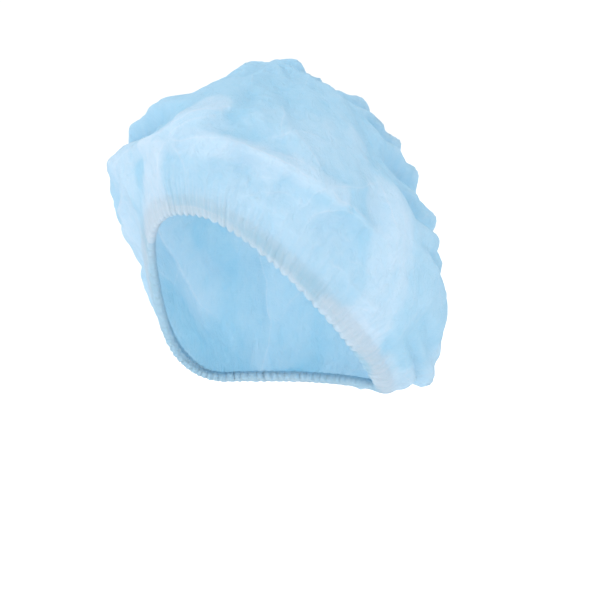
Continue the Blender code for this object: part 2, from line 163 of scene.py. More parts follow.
# Sharp creases, each along a bent run of (azimuth, level) points, with its height and the width
# of its slopes as shares of a full crease. Their runs are bent further by noise.
CREASES = (
    # crease, height, width of its slopes, paleness of its line, its run of points
    ("brow upper", 0.9, 0.9, 1.0,
     ((-13, 0.44), (-2, 0.46), (6, 0.50), (10, 0.54), (15, 0.58), (24, 0.66))),
    ("brow second", 0.6, 0.6, 0.7, ((2, 0.43), (6, 0.47), (10, 0.51), (14, 0.54), (19, 0.60))),
    ("brow band", 0.5, 0.6, 0.7, ((-12, 0.43), (2, 0.42), (9, 0.43), (17, 0.47), (25, 0.50))),
    ("diagonal", 1.0, 0.9, 1.0,
     ((24, 0.49), (30, 0.51), (36, 0.51), (44, 0.49), (52, 0.47), (62, 0.49))),
    ("diagonal upper edge", 0.4, 0.5, 0.6,
     ((34, 0.53), (38, 0.53), (44, 0.52), (50, 0.51), (57, 0.50))),
    ("short upright", 0.6, 0.6, 0.8, ((45, 0.70), (46, 0.66), (45, 0.63), (44, 0.57))),
    ("star lower arm", 0.9, 0.7, 0.8,
     ((49, 0.60), (51, 0.59), (53, 0.57), (55, 0.54), (58, 0.52), (62, 0.49))),
    ("star front arm", 0.6, 0.5, 0.8, ((49, 0.60), (46, 0.59), (40, 0.58))),
    ("star back arm", 0.5, 0.5, 0.7, ((49, 0.60), (54, 0.62), (59, 0.62))),
    ("node back arm", 0.8, 0.7, 0.8, ((62, 0.49), (67, 0.51), (76, 0.54), (86, 0.58))),
    ("node lower arm", 1.0, 0.6, 1.0, ((62, 0.49), (66, 0.46), (70, 0.46), (76, 0.45), (82, 0.44))),
    ("node front arm", 0.6, 0.6, 0.7, ((62, 0.49), (58, 0.45), (57, 0.41), (54, 0.36))),
    ("arch", 0.8, 0.5, 0.8,
     ((58, 0.32), (60, 0.38), (64, 0.42), (68, 0.44), (74, 0.44), (80, 0.43))),
    ("first crumple", 0.4, 0.4, 0.6, ((67, 0.35), (70, 0.36), (73, 0.35), (75, 0.37))),
    ("second crumple", 0.4, 0.4, 0.6, ((74, 0.33), (77, 0.32), (80, 0.33), (83, 0.31))),
    ("third crumple", 0.4, 0.4, 0.6, ((69, 0.28), (72, 0.27), (74, 0.28), (77, 0.29))),
    ("low arc upper", 0.6, 0.5, 0.7, ((79, 0.17), (83, 0.22), (88, 0.25), (92, 0.24))),
    ("low arc lower", 0.6, 0.5, 0.7, ((86, 0.12), (88, 0.17), (92, 0.20), (97, 0.19))),
    ("front ridge", 0.7, 0.6, 0.9, ((1, 0.42), (0, 0.34), (-1, 0.28), (-4, 0.18))),
    ("front second ridge", 0.2, 0.7, 0.9, ((-9, 0.38), (-10, 0.30), (-13, 0.18), (-16, 0.08))),
    ("front third ridge", 0.5, 0.5, 0.8, ((4, 0.41), (8, 0.37), (11, 0.31), (13, 0.24))),
    ("temple slant", 0.4, 0.6, 0.5, ((34, 0.26), (42, 0.34), (50, 0.38), (56, 0.38))),
    ("temple fork", 0.4, 0.5, 0.6, ((30, 0.40), (38, 0.38), (46, 0.42))),
    ("pale edge upper", 0.4, 0.9, 0.5,
     ((72, 0.74), (76, 0.68), (83, 0.65), (90, 0.61), (93, 0.55))),
    ("pale edge lower", 0.5, 0.9, 0.4,
     ((93, 0.52), (96, 0.42), (101, 0.33), (106, 0.26), (108, 0.18))),
    ("side streak", 0.4, 0.5, 0.8, ((85, 0.58), (87, 0.52), (87, 0.46))),
    ("shoulder fork", 0.5, 0.6, 0.7, ((78, 0.62), (86, 0.60), (92, 0.63), (98, 0.62))),
    ("top slant", 0.5, 0.9, 0.6, ((56, 0.76), (70, 0.82), (92, 0.88))),
    ("top front", 0.5, 0.9, 0.6, ((26, 0.72), (20, 0.80), (14, 0.88))),
    ("pouch slant", 0.6, 0.9, 0.7, ((108, 0.44), (120, 0.40), (132, 0.43))),
    ("low back slant", 0.6, 0.8, 0.7, ((112, 0.24), (124, 0.19), (136, 0.21))),
    ("back fork", 1.0, 0.9, 1.0, ((150, 0.20), (152, 0.36), (146, 0.52), (149, 0.66))),
    ("back fork arm", 0.8, 0.7, 0.9, ((152, 0.36), (164, 0.46), (176, 0.50))),
    ("back fork spur", 0.7, 0.6, 0.8, ((146, 0.52), (136, 0.56), (128, 0.55))),
    ("back middle", 1.0, 0.9, 1.0, ((179, 0.16), (183, 0.34), (180, 0.50), (190, 0.64))),
    ("back middle arm", 0.7, 0.7, 0.8, ((180, 0.50), (172, 0.60), (160, 0.66), (149, 0.66))),
    ("back low arc", 0.8, 0.7, 0.8, ((160, 0.24), (176, 0.29), (194, 0.25))),
    ("back far", 1.0, 0.9, 1.0, ((222, 0.18), (218, 0.36), (221, 0.50), (212, 0.64))),
    ("back far arm", 0.8, 0.7, 0.8, ((218, 0.36), (206, 0.42), (196, 0.40), (183, 0.34))),
    ("back far spur", 0.7, 0.6, 0.8, ((221, 0.50), (231, 0.55), (238, 0.62))),
    ("far low arc", 0.8, 0.6, 0.8, ((258, 0.24), (272, 0.30), (286, 0.27))),
    ("far side", 1.0, 0.9, 1.0, ((236, 0.34), (252, 0.42), (268, 0.51), (286, 0.53))),
    ("far side arm", 0.9, 0.7, 0.9, ((268, 0.51), (276, 0.60), (280, 0.70))),
    ("far side spur", 0.7, 0.6, 0.8, ((252, 0.42), (262, 0.36), (274, 0.38))),
    ("far front slant", 0.7, 0.7, 0.8, ((300, 0.14), (302, 0.28), (309, 0.40))),
    ("far brow", 0.5, 0.6, 0.8, ((322, 0.40), (334, 0.43), (347, 0.44))),
    ("far top", 0.7, 0.9, 0.8, ((280, 0.70), (262, 0.78), (240, 0.80))),
    ("top fork", 0.7, 0.9, 0.8, ((240, 0.80), (216, 0.86), (190, 0.83), (190, 0.64))),
    ("crown cross", 0.5, 0.8, 0.7, ((302, 0.74), (316, 0.84), (350, 0.90))),
)

# Small lobes of the outline behind the side and in front of the far side: the azimuth where the
# cloth turns from view at each level, and the lobe's height there in metres
SIDE_LOBES = (
    # level, azimuth, height
    (0.000, 140, 0.0), (0.120, 140, -0.0025), (0.200, 139, -0.0033), (0.225, 140, -0.0060),
    (0.265, 137, 0.0030), (0.300, 136, -0.0010), (0.330, 135, 0.0006), (0.360, 134, -0.0003),
    (0.410, 133, 0.0014), (0.432, 130, -0.0064), (0.452, 129, -0.0018), (0.470, 128, 0.0003),
    (0.515, 127, -0.0080), (0.545, 127, -0.0092), (0.568, 127, -0.0008), (0.612, 128, -0.0116),
    (0.648, 126, 0.0018), (0.682, 126, -0.0066), (0.705, 126, 0.0038), (0.730, 125, -0.0048),
    (0.785, 124, 0.0066), (0.830, 121, -0.0100), (0.880, 118, 0.0038), (0.912, 115, -0.0052),
    (0.965, 115, 0.0014), (1.000, 115, 0.0),
)
FRONT_LOBES = (
    # level, azimuth, height
    (0.000, -57, 0.0), (0.150, -56, -0.0030), (0.215, -57, -0.0024), (0.305, -61, 0.0003),
    (0.355, -57, -0.0028), (0.410, -54, 0.0021), (0.440, -53, 0.0054), (0.458, -50, -0.0014),
    (0.480, -45, -0.0080), (0.505, -39, -0.0085), (0.525, -35, -0.0070), (0.545, -33, -0.0110),
    (0.615, -31, 0.0027), (0.645, -29, 0.0015), (0.700, -32, -0.0048), (0.775, -32, -0.0041),
    (0.870, -35, -0.0020), (0.955, -35, -0.0025), (0.975, -33, 0.0026), (1.000, -33, 0.0),
)
# How far round the lobes keep their full height and where they have gone, in degrees, and how much
# they climb in level for each degree
LOBE_CORE = 9.0
LOBE_END = 36.0
LOBE_SLANT = 0.0016

# Parts of the level over which the slack and the folds grow from the edge, and over which the
# folds and the painted highlights of the crests fade before the apex
SLACK_LEVEL = 0.16
FOLD_LEVEL = 0.30
TOP_LEVEL = 0.14
CREST_TOP_LEVEL = 0.25
# Share of a full crease by which the cloth between the creases lies lower
CREASE_SINK = 0.25

# Crumples of the whole crown: cell size, height, seed of the noise and the sign of their crests
CRUMPLES = (
    (0.062, 0.0030, 11, 1.0),
    (0.048, 0.0022, 23, -1.0),
    (0.027, 0.0010, 37, 1.0),
    (0.021, 0.0007, 41, -1.0),
)
SMALL_CRUMPLES = (
    (0.0150, 0.0008, 53, 1.0),
    (0.0095, 0.0006, 59, -1.0),
)
# The cap was packed folded at this azimuth, in degrees, and is more crumpled round it by this share
FOLDED_AZIMUTH = 218.0
FOLDED_SHARE = 0.9
# Share of the small crumples all over the crown, and in the crushed patches
SMALL_SHARE = 0.40
CRUSHED_SHARE = 1.5
# Patches where the cloth is crushed into small crumples: azimuth, level and their half widths
CRUSHED = (
    (74, 0.26, 16, 0.12),
    (40, 0.33, 16, 0.07),
    (276, 0.26, 18, 0.12),
    (178, 0.22, 26, 0.08),
    (316, 0.33, 14, 0.08),
)

# Gathers run together as they go up: how many small pleats make one fold, its height in metres,
# and the distances above the hem where it starts, is full and has gone
GATHER_FOLDS = (
    (2, 0.0005, 0.004, 0.016, 0.040),
    (4, 0.0007, 0.012, 0.030, 0.068),
    (8, 0.0010, 0.026, 0.052, 0.110),
)

# Patches of painted light, where the cloth is made paler as if lit more strongly, or of painted
# shade where the strength is negative, each along a straight run of azimuth and level
PAINTED_LIGHT_PATCHES = (
    # patch, azimuth and level at its start and its end, its reach in metres, strength
    ("brow band", -16, 0.40, 36, 0.47, 0.022, 0.85),
    ("upper brow", -14, 0.45, 16, 0.62, 0.013, 0.80),
    ("brow fill", 0, 0.48, 22, 0.55, 0.018, 0.60),
    ("front ridges", -13, 0.04, -6, 0.40, 0.022, 1.20),
    ("far front", -46, 0.14, -28, 0.42, 0.030, 0.90),
    ("middle", 24, 0.28, 66, 0.28, 0.046, 0.45),
    ("diagonal", 26, 0.49, 64, 0.48, 0.013, 0.75),
    ("upper middle", 36, 0.62, 74, 0.60, 0.024, 0.40),
    ("side", 82, 0.56, 93, 0.18, 0.016, 0.80),
    ("low side", 86, 0.10, 122, 0.13, 0.030, 1.15),
    ("rim", -4, 0.03, 84, 0.03, 0.016, 0.90),
    ("behind the side", 112, 0.66, 119, 0.24, 0.026, -0.40),
    ("back side", 150, 0.30, 156, 0.50, 0.030, 0.42),
    ("back middle", 184, 0.20, 182, 0.46, 0.030, 0.48),
    ("back far side", 214, 0.30, 220, 0.54, 0.030, 0.42),
    ("far side", 250, 0.40, 286, 0.52, 0.026, 0.50),
    ("far low side", 262, 0.12, 300, 0.20, 0.026, 0.50),
)
# How far from a crease its pale line of painted highlight can reach, in metres
LINE_REACH = 0.006
# Paleness of the line that joins the hem to the cloth, and how far down it can show, as a share
# of its height
WELD_PALENESS = 0.45
WELD_FROM = 0.3

# Layers of noise, each with its size, its cell in metres and its seed: they bend the creases, in
# degrees round and in levels up, break up the patches, streak them upwards and mottle the cloth
BEND_ROUND = ((2.6, 0.034, 83), (0.9, 0.011, 85))
BEND_UP = ((0.016, 0.030, 87), (0.006, 0.010, 89))
BROKEN = ((1.0, 0.050, 71), (0.5, 0.020, 73))
STREAKS = ((1.0, 0.013, 79),)
STREAK_SQUEEZE = 0.30
MOTTLED = ((1.0, 0.009, 97),)
# How much the noises move a patch's border and add to the paleness, how much painted light a raised
# fold adds (and painted shade a sunk one), and the height at which it adds most of that
BORDER_BROKEN = 0.60
BORDER_STREAKED = 0.30
PALE_BROKEN = 0.15
PALE_STREAKED = 0.10
PALE_MOTTLED = 0.07
FOLD_PAINTED_LIGHT = 0.14
RAISED_HEIGHT = 0.0030
# Depths of colour at which the cloth has its full pale colour and its full deep colour
DEPTH_RANGE = (-0.5, 1.4)

# Slow drifts that make the pleats uneven: size in radians, turns round the edge, how much the
# row's seed shifts it, and its change with each metre up
PLEAT_DRIFTS = (
    (0.75, 7.0, 1.0, 30.0),
    (0.55, 19.0, 2.3, -45.0),
    (0.35, 33.0, 4.1, 60.0),
)
# Powers that round a pleat's crest, and the teeth's share along the turn at the edge
TUBE_ROUNDNESS = 0.6
TOOTH_ROUNDNESS = 0.7

# Rows of the crown's surface as counts, the shares of the way up where its bands end, where it
# starts round the turn as a share of the half circle, and how high its gathers' rows reach
TURN_ROWS = 7
HEM_ROWS = 4
GATHER_ROWS = 13
BODY_ROWS = 74
UPPER_ROWS = 14
TOP_ROWS = 3
BODY_END = 0.80
UPPER_END = 0.97
TURN_START = 0.62
GATHER_HEIGHT = 0.030
# Rows of the hem: round its turn, and up each side to a share of its width
HEM_TURN_ROWS = 13
HEM_SIDE_ROWS = 5
HEM_SIDE_END = 0.92
# The hem's closing rows: heights as shares of its width, and how far inward as shares of its depth
HEM_CLOSING = ((1.45, 0.15), (1.25, 0.45), (1.08, 0.82))
# Points round the elastic's flat section, and the power that rounds its corners
ELASTIC_POINTS = 16
ELASTIC_ROUNDNESS = 0.45
# Bend of the smooth crown, up and round it together, as one over a radius in metres
SMOOTH_BEND = 20.0
# Steps of the table of arcs, step of the slopes in level and in radians, and cells of the noise
# before it repeats
ARC_STEPS = 240
FINITE_STEP = 0.002
NOISE_CELLS = 32

# The picture: its size, the place of the origin in it in pixels, and metres a pixel at the origin
PICTURE_SIZE = 600
ORIGIN_IN_PICTURE = (251.0, 304.6)
METRES_A_PIXEL = 0.00064
SENSOR_MM = 36.0
# Large soft lights: place in metres, size, and power as a share of the key light's
LIGHTS = (
    ("key light", (-0.9, -1.6, 1.5), 1.2, 1.0),
    ("fill light", (0.9, -1.8, 0.3), 1.1, 0.8),
    ("back light", (-1.0, 1.8, 1.2), 0.8, 0.7),
)
# How far the floor reaches each way, in metres, its colour and the strength of its glow
FLOOR_REACH = 30.0
FLOOR_COLOUR = (0.90, 0.90, 0.90)
FLOOR_GLOW = 0.25


def smoothstep(value):
    """Ease from 0 to 1 with level ends, s * s * (3 - 2 * s)."""
    share = np.clip(value, 0.0, 1.0)
    return share * share * (3.0 - 2.0 * share)


def swell(value, start, full, end):
    """Rise from 0 at start to 1 at full and fall back to 0 at end."""
    fallen = smoothstep((value - full) / (end - full))
    return smoothstep((value - start) / (full - start)) * (1.0 - fallen)


def degrees_from(degrees, centre):
    """Turn from the centre, from -180 to 180 degrees."""
    return (degrees - centre + 180.0) % 360.0 - 180.0


def ring_sizes():
    """Each ring's front, side and back reach and heights, its narrowing and its level ends."""
    edges = np.array([EDGE_FRONT_RISE, -EDGE_SIDE_DROP, -EDGE_BACK_DROP])
    rings = []
    for _, front, side, back, up_front, up_side, up_back, narrowing, level in FLARE_RINGS:
        rings.append((
            EDGE_FRONT + front * (CROWN_FRONT - EDGE_FRONT),
            EDGE_HALF_WIDTH + side * (CROWN_HALF_WIDTH - EDGE_HALF_WIDTH),
            EDGE_BACK + back * (CROWN_BACK - EDGE_BACK),
            *(edges + np.array([up_front, up_side, up_back]) * (CROWN_HEIGHT - edges)),
            narrowing,
            level,
        ))
    for _, front, side, back, up_front, up_side, up_back, narrowing in DOME_RINGS:
        rings.append((
            front * (CROWN_FRONT + APEX_SETBACK) - APEX_SETBACK,
            side * CROWN_HALF_WIDTH,
            back * (CROWN_BACK - APEX_SETBACK) + APEX_SETBACK,
            *(edges + np.array([up_front, up_side, up_back]) * (CROWN_HEIGHT - edges)),
            narrowing,
            0.0,
        ))
    # One more ring mirrored past the apex keeps the top round
    mirrored = list(rings[-2])
    mirrored[0] = -mirrored[0] - 2.0 * APEX_SETBACK
    mirrored[1] = -mirrored[1]
    mirrored[2] = 2.0 * APEX_SETBACK - mirrored[2]
    return np.array([rings[0]] + rings + [tuple(mirrored)])


RINGS = ring_sizes()
SPANS = len(RINGS) - 3


def ring_at(level):
    """Ring sizes at a level from 0 at the edge to 1 at the apex, on a smooth curve through them."""
    place = np.clip(level, 0.0, 1.0) * SPANS
    first = np.minimum(place.astype(int), SPANS - 1)
    u = (place - first)[..., None]
    before, start, end, after = (RINGS[first + k] for k in range(4))
    return 0.5 * (
        2.0 * start
        + (end - before) * u
        + (2.0 * before - 5.0 * start + 4.0 * end - after) * u**2
        + (3.0 * start - before - 3.0 * end + after) * u**3
    )


def straightened(azimuth, level):
    """Azimuth on a ring: behind the sides the rows lean forwards, square to the edge."""
    eased = np.sin(0.5 * math.pi * np.clip(level / LEAN_LEVEL, 0.0, 1.0))
    behind = np.sin(azimuth) * 0.5 * (1.0 - np.cos(azimuth))
    return azimuth - math.radians(EDGE_LEAN) * eased * behind


def envelope(column_azimuth, level):
    """Point of the smooth crown: elliptic rings, wider behind, whose heights follow the edge."""
    azimuth = straightened(column_azimuth, level)
    sizes = np.moveaxis(ring_at(level), -1, 0)
    front, side, back, up_front, up_side, up_back, narrowing, level_ends = sizes
    degrees, cosine = np.degrees(azimuth), np.cos(azimuth)
    middle = 0.5 * (up_front + up_back)
    rounded = 0.5 * (middle + up_side) + 0.5 * (up_front - up_back) * cosine
    rounded = rounded + 0.5 * (middle - up_side) * np.cos(2.0 * azimuth)
    apart = np.abs(degrees_from(degrees, EDGE_TURN))
    fall = smoothstep((apart - EDGE_FALL_FROM) / (EDGE_FALL_TO - EDGE_FALL_FROM))
    stepped = up_front + (up_back - up_front) * fall
    # The far side sits closer low down than the other
    aside = np.exp(-((degrees_from(degrees, FAR_SIDE_AZIMUTH) / FAR_SIDE_SPREAD) ** 2))
    closer = 1.0 - FAR_SIDE_CLOSER * aside * (1.0 - smoothstep(level / FAR_SIDE_END))
    x = side * np.sin(azimuth) * (1.0 - narrowing * cosine) * closer
    y = 0.5 * (back - front) - 0.5 * (back + front) * cosine * closer
    z = rounded + (stepped - rounded) * level_ends
    return np.stack([x, y, z], axis=-1)


def frame_at(azimuth, level):
    """Outward normal and upward direction of the smooth crown, from small steps on it."""
    low = np.clip(level - FINITE_STEP, 0.0, 0.995)
    high = np.clip(level + FINITE_STEP, 0.0, 1.0)
    along = envelope(azimuth, high) - envelope(azimuth, low)
    around = envelope(azimuth + FINITE_STEP, level) - envelope(azimuth - FINITE_STEP, level)
    outward = np.cross(around, along)
    outward /= np.maximum(np.linalg.norm(outward, axis=-1, keepdims=True), 1e-12)
    along /= np.maximum(np.linalg.norm(along, axis=-1, keepdims=True), 1e-12)
    return outward, along


def arc_table(azimuth):
    """Levels, and for each column the distance up the smooth crown from the edge to each level."""
    levels = np.linspace(0.0, 1.0, ARC_STEPS)
    points = envelope(*np.meshgrid(azimuth, levels, indexing="ij"))
    steps = np.linalg.norm(np.diff(points, axis=1), axis=-1)
    return levels, np.concatenate([np.zeros((len(azimuth), 1)), np.cumsum(steps, axis=1)], axis=1)


def levels_at(azimuth, distance):
    """Level at each distance above the edge: the table of arcs read backwards."""
    levels, arcs = arc_table(azimuth)
    index = (arcs[:, None, :] < distance[:, :, None]).sum(axis=2).clip(1, ARC_STEPS - 1)
    low = np.take_along_axis(arcs, index - 1, axis=1)
    high = np.take_along_axis(arcs, index, axis=1)
    part = np.clip((distance - low) / np.maximum(high - low, 1e-9), 0.0, 1.0)
    return levels[index - 1] + part * (levels[index] - levels[index - 1])


def run_distance(degrees, level, start, end):
    """Distance of each point from a straight run, its nearest place along that, and its side.

    Azimuths are taken from the run's middle, and turned into metres with a rough half width of the
    crown there. Levels are turned into metres with a rough way up from the edge to the apex.
    """
    half = 0.5 * (end[0] - start[0])
    apart = degrees_from(degrees, start[0] + half)
    scale = CROWN_HALF_WIDTH * np.sin(math.pi * np.clip(0.2 + 0.6 * level, 0.0, 1.0))
    way_up = 1.6 * CROWN_HEIGHT
    x, run_x = np.radians(apart + half) * scale, np.radians(2.0 * half) * scale
    y, run_y = (level - start[1]) * way_up, (end[1] - start[1]) * way_up
    share = np.clip((x * run_x + y * run_y) / np.maximum(run_x**2 + run_y**2, 1e-9), 0.0, 1.0)
    side = np.where(x * run_y - y * run_x < 0.0, -1.0, 1.0)
    return np.hypot(x - share * run_x, y - share * run_y), share, side


def ridge(distance):
    """A fold's shape across its run: nearly half a bell, and the rest a tent with a rounded top."""
    rounded = 0.12
    tent = np.exp(-1.5 * (np.hypot(distance, rounded) - rounded))
    return 0.45 * np.exp(-(distance**2)) + 0.55 * tent


def broad_folds(degrees, level):
    """Sum of the main folds, each a ridge or a soft hollow along its run, and of the soft waves."""
    total = np.zeros_like(degrees)
    for _, *run, height, width in FOLDS:
        distance, _, _ = run_distance(degrees, level, run[:2], run[2:])
        distance = distance / (width * FOLD_WIDTH)
        shape = ridge(distance) if height > 0.0 else np.exp(-(distance**2))
        total += height * FOLD_HEIGHT * shape
    for around, up, phase, share in WAVES:
        turns = around * degrees / 360.0 + up * level + phase
        total += share * WAVE_HEIGHT * np.sin(2.0 * math.pi * turns)
    return total


def lobes(degrees, level):
    """Lobes of the outline: heights eased from one level of their table to the next."""
    total = np.zeros_like(degrees)
    for table, slant in ((SIDE_LOBES, LOBE_SLANT), (FRONT_LOBES, -LOBE_SLANT)):
        levels, azimuths, heights = np.array(table).T
        apart = degrees_from(degrees, np.interp(level, levels, azimuths))
        place = np.interp(level + slant * apart, levels, np.arange(len(levels)))
        first = np.minimum(place.astype(int), len(levels) - 2)
        eased = smoothstep(place - first)
        fade = 1.0 - smoothstep((np.abs(apart) - LOBE_CORE) / (LOBE_END - LOBE_CORE))
        total += (heights[first] + (heights[first + 1] - heights[first]) * eased) * fade
    return total


def creases(degrees, level, height, width, radius):
    """The sharp creases: their added height, the signed distance from the nearest, its pale line.

    Each falls off from a narrow rounded top: height * exp(-(sqrt(d^2 + r^2) - r) / width). It
    fades at its ends. The distance is a share of the line's reach. The paleness is 0 away from
    every crease, so that the distance matters only near one.
    """
    total = np.zeros_like(degrees)
    side = np.ones_like(degrees)
    pale = np.zeros_like(degrees)
    closest = np.full_like(degrees, np.inf)
    for _, share, spread, line, run in CREASES:
        nearest = np.full_like(degrees, np.inf)
        place = np.zeros_like(degrees)
        turned = np.zeros_like(degrees)
        for k, (start, end) in enumerate(zip(run, run[1:])):
            distance, along, left = run_distance(degrees, level, start, end)
            closer = distance < nearest
            nearest = np.where(closer, distance, nearest)
            turned = np.where(closer, left, turned)
            place = np.where(closer, (k + along) / (len(run) - 1), place)
        ends = np.sqrt(np.sin(math.pi * np.clip(place, 0.004, 0.996)))
        tent = np.exp(-(np.hypot(nearest, radius) - radius) / (width * spread))
        total += share * height * tent * ends
        first = nearest < closest
        closest = np.where(first, nearest, closest)
        side = np.where(first, nearest * turned, side)
        near = 1.0 - smoothstep((nearest - 0.5 * LINE_REACH) / (0.5 * LINE_REACH))
        pale = np.where(first, line * ends * near, pale)
    return total, np.clip(side / LINE_REACH, -1.0, 1.0), pale


def lattice_noise(points, cell, seed):
    """Smooth noise of about -1 to 1: random slopes on a cubic lattice, blended with ease."""
    slopes = np.random.default_rng(seed).normal(size=(NOISE_CELLS, NOISE_CELLS, NOISE_CELLS, 3))
    slopes /= np.linalg.norm(slopes, axis=-1, keepdims=True)
    place = points / cell
    base = np.floor(place).astype(int)
    part = place - base
    eased = part**3 * (part * (part * 6.0 - 15.0) + 10.0)
    total = np.zeros(points.shape[:-1])
    for corner in np.ndindex(2, 2, 2):
        weight = np.prod(np.where(np.array(corner) == 1, eased, 1.0 - eased), axis=-1)
        index = (base + corner) % NOISE_CELLS
        slope = slopes[index[..., 0], index[..., 1], index[..., 2]]
        total += weight * np.sum(slope * (part - corner), axis=-1)
    return 1.6 * total


def layered_noise(points, layers):
    """Sum of noises, each with its size, its cell and its seed."""
    return sum(size * lattice_noise(points, cell, seed) for size, cell, seed in layers)


def crumple(points, cell, seed):
    """Crumples of one size: tents along the lines where bent noise passes zero, some faint."""
    bend = np.stack([lattice_noise(points, 1.7 * cell, seed + k) for k in (1, 2, 3)], axis=-1)
    noise = lattice_noise(points + 0.45 * cell * bend, cell, seed)
    tent = 1.0 - np.sqrt(np.minimum(2.6 * np.abs(noise), 3.0) ** 2 + 0.012)
    strength = smoothstep(0.55 + 0.9 * lattice_noise(points, 2.3 * cell, seed + 5))
    return (tent - 0.25) * strength


def crushed(degrees, level):
    """1 in the patches of small crumples, and 0 away from them."""
    total = np.zeros_like(degrees)
    for azimuth, centre, half_azimuth, half_level in CRUSHED:
        apart = degrees_from(degrees, azimuth) / half_azimuth
        total = np.maximum(total, np.exp(-(apart**2) - ((level - centre) / half_level) ** 2))
    return total


def pleat_angle(azimuth, above, count, seed):
    """Angle of a row of pleats: count turns round the edge, and the slow drifts added."""
    total = count * azimuth
    for size, turns, shift, change in PLEAT_DRIFTS:
        total = total + size * np.sin(turns * azimuth + shift * seed + change * above)
    return total


def tube(angle):
    """A round crest and a sharp hollow for each turn of the angle, from -1 to 1."""
    return 2.0 * np.abs(np.cos(0.5 * angle)) ** TUBE_ROUNDNESS - 1.0


def small_pleats(azimuth, above, sizes):
    """The small pleats of the gathered edge, which fade upwards over uneven lengths.

    A finer row with twice as many lies over them, strongest where they are weakest. The slow
    products of sines make the lengths and heights uneven, without a repeat on the way round.
    """
    drawn = np.sin(11.0 * azimuth + 1.0) * np.sin(23.0 * azimuth)
    length = sizes.pleat_length * (1.0 + 0.4 * drawn)
    fade = 1.0 - smoothstep((above - sizes.hem_width) / length)
    uneven = 0.9 + 0.45 * np.sin(29.0 * azimuth + 0.7) * np.sin(41.0 * azimuth)
    uneven = uneven + 0.3 * np.sin(53.0 * azimuth + 2.0)
    whole = tube(pleat_angle(azimuth, above, sizes.pleats, 0.0))
    half = np.cos(pleat_angle(azimuth, above, 2 * sizes.pleats, 5.0))
    return 0.5 * sizes.pleat_height * fade * (uneven * whole + 0.30 * (2.0 - uneven) * half)


def gathered_folds(azimuth, above, sizes):
    """Wider folds that two, four and eight small pleats run into, one after the other upwards."""
    rise = above - sizes.hem_width
    total = np.zeros_like(azimuth)
    for k, (merged, height, start, full, end) in enumerate(GATHER_FOLDS):
        turns = sizes.pleats // merged
        uneven = 0.65 + 0.5 * np.sin(turns // 3 * azimuth + k)
        drawn = -tube(pleat_angle(azimuth, rise, turns, k + 1.0) + math.pi)
        total += height * uneven * swell(rise, start, full, end) * drawn
    return total


def crown_lift(azimuth, above, level, points, sizes):
    """Height of the cloth over the smooth crown, and its crease lines' distance and painted
    highlight.

    The height is the sum of the folds, lobes, creases, crumples, pleats and gathers, less the ease.
    """
    degrees = np.degrees(azimuth)
    # Nothing but the pleats reaches down to the hem, and the folds die out at the apex
    free = smoothstep((above - sizes.hem_width) / sizes.free_height)
    slack = smoothstep(level / SLACK_LEVEL) * free
    top = smoothstep((1.0 - level) / TOP_LEVEL)
    total = broad_folds(degrees, level) * smoothstep(level / FOLD_LEVEL) * free * top
    total += lobes(degrees, level) * top * free
    bent = (degrees + layered_noise(points, BEND_ROUND), level + layered_noise(points, BEND_UP))
    sharp, side, pale = creases(*bent, sizes.crease_height, sizes.crease_width, sizes.crease_radius)
    total += (sharp - CREASE_SINK * sizes.crease_height) * slack
    behind = np.cos(azimuth - math.radians(FOLDED_AZIMUTH))
    folded = 1.0 + FOLDED_SHARE * np.clip(behind, 0.0, 1.0)
    for cell, height, seed, sign in CRUMPLES:
        total += sign * sizes.crumple * height * crumple(points, cell, seed) * slack * folded
    share = (SMALL_SHARE * folded + CRUSHED_SHARE * crushed(degrees, level)) * slack
    for cell, height, seed, sign in SMALL_CRUMPLES:
        total += sign * height * crumple(points, cell, seed) * share
    total += small_pleats(azimuth, above, sizes) + gathered_folds(azimuth, above, sizes)
    return total - sizes.ease * slack, side, pale * slack


def column_azimuths(columns):
    """Azimuths of evenly turned columns, in radians from the front."""
    return 2.0 * math.pi * np.arange(columns) / columns


def crown_band(columns, above, inward, tooth, sizes):
    """Points of one band of the crown, their azimuths and their marks.

    The band has columns round the crown, and rows at heights above the edge. Each point is the
    smooth crown's, moved by (lift - inward) outwards and by its share of the teeth downwards.
    """
    azimuth = column_azimuths(columns)
    level = levels_at(azimuth, above)
    around = np.broadcast_to(azimuth[:, None], level.shape)
    smooth = envelope(around, level)
    outward, along = frame_at(around, level)
    lift, side, pale = crown_lift(around, above, level, smooth, sizes)
    depth, _ = hem_parts(sizes)
    down = tooth * tooth_drop(around, above, sizes)
    points = smooth + (lift - inward)[..., None] * outward - down[..., None] * along
    # How sharply the cloth bends, for painted highlights on its crests and painted shade in its
    # hollows
    crest = crest_strength(points, outward, sizes.crest_reach)
    crest *= 1.0 - smoothstep(inward / (0.3 * depth))
    crest *= smoothstep((1.0 - level) / CREST_TOP_LEVEL)
    # A faint line where the turned-in hem is joined to the cloth
    weld = above - sizes.weld_height
    near = (np.abs(weld) < LINE_REACH) & (above > WELD_FROM * sizes.weld_height)
    side = np.where(near, np.clip(weld / LINE_REACH, -1.0, 1.0), side)
    faded = WELD_PALENESS * (1.0 - smoothstep(np.abs(weld) / LINE_REACH))
    pale = np.where(near, faded, pale)
    return points, around, (tone_and_painted_light(around, level, points, lift), side, pale, crest)


def tooth_drop(around, above, sizes):
    """How far a pleat's end hangs below the edge: its crest below, its hollow above, unevenly."""
    crests = tube(pleat_angle(around, above, sizes.pleats, 0.0))
    uneven = 1.0 + 0.35 * np.sin(31.0 * around + 2.0) * np.sin(13.0 * around)
    return 0.5 * sizes.tooth * uneven * (crests - 0.3)


def edge_turn(sizes, first, last, count):
    """Rows round the turn at the edge, between two shares of its half circle from the outer face.

    At an angle of share * pi a row is turn * (1 - sin) above the edge and half the hem's depth
    times (1 - cos) inward. It takes a power of the sine of the teeth.
    """
    depth, turn = hem_parts(sizes)
    angle = math.pi * np.linspace(first, last, count)
    sine = np.abs(np.sin(angle))
    return turn * (1.0 - sine), 0.5 * depth * (1.0 - np.cos(angle)), sine**TOOTH_ROUNDNESS


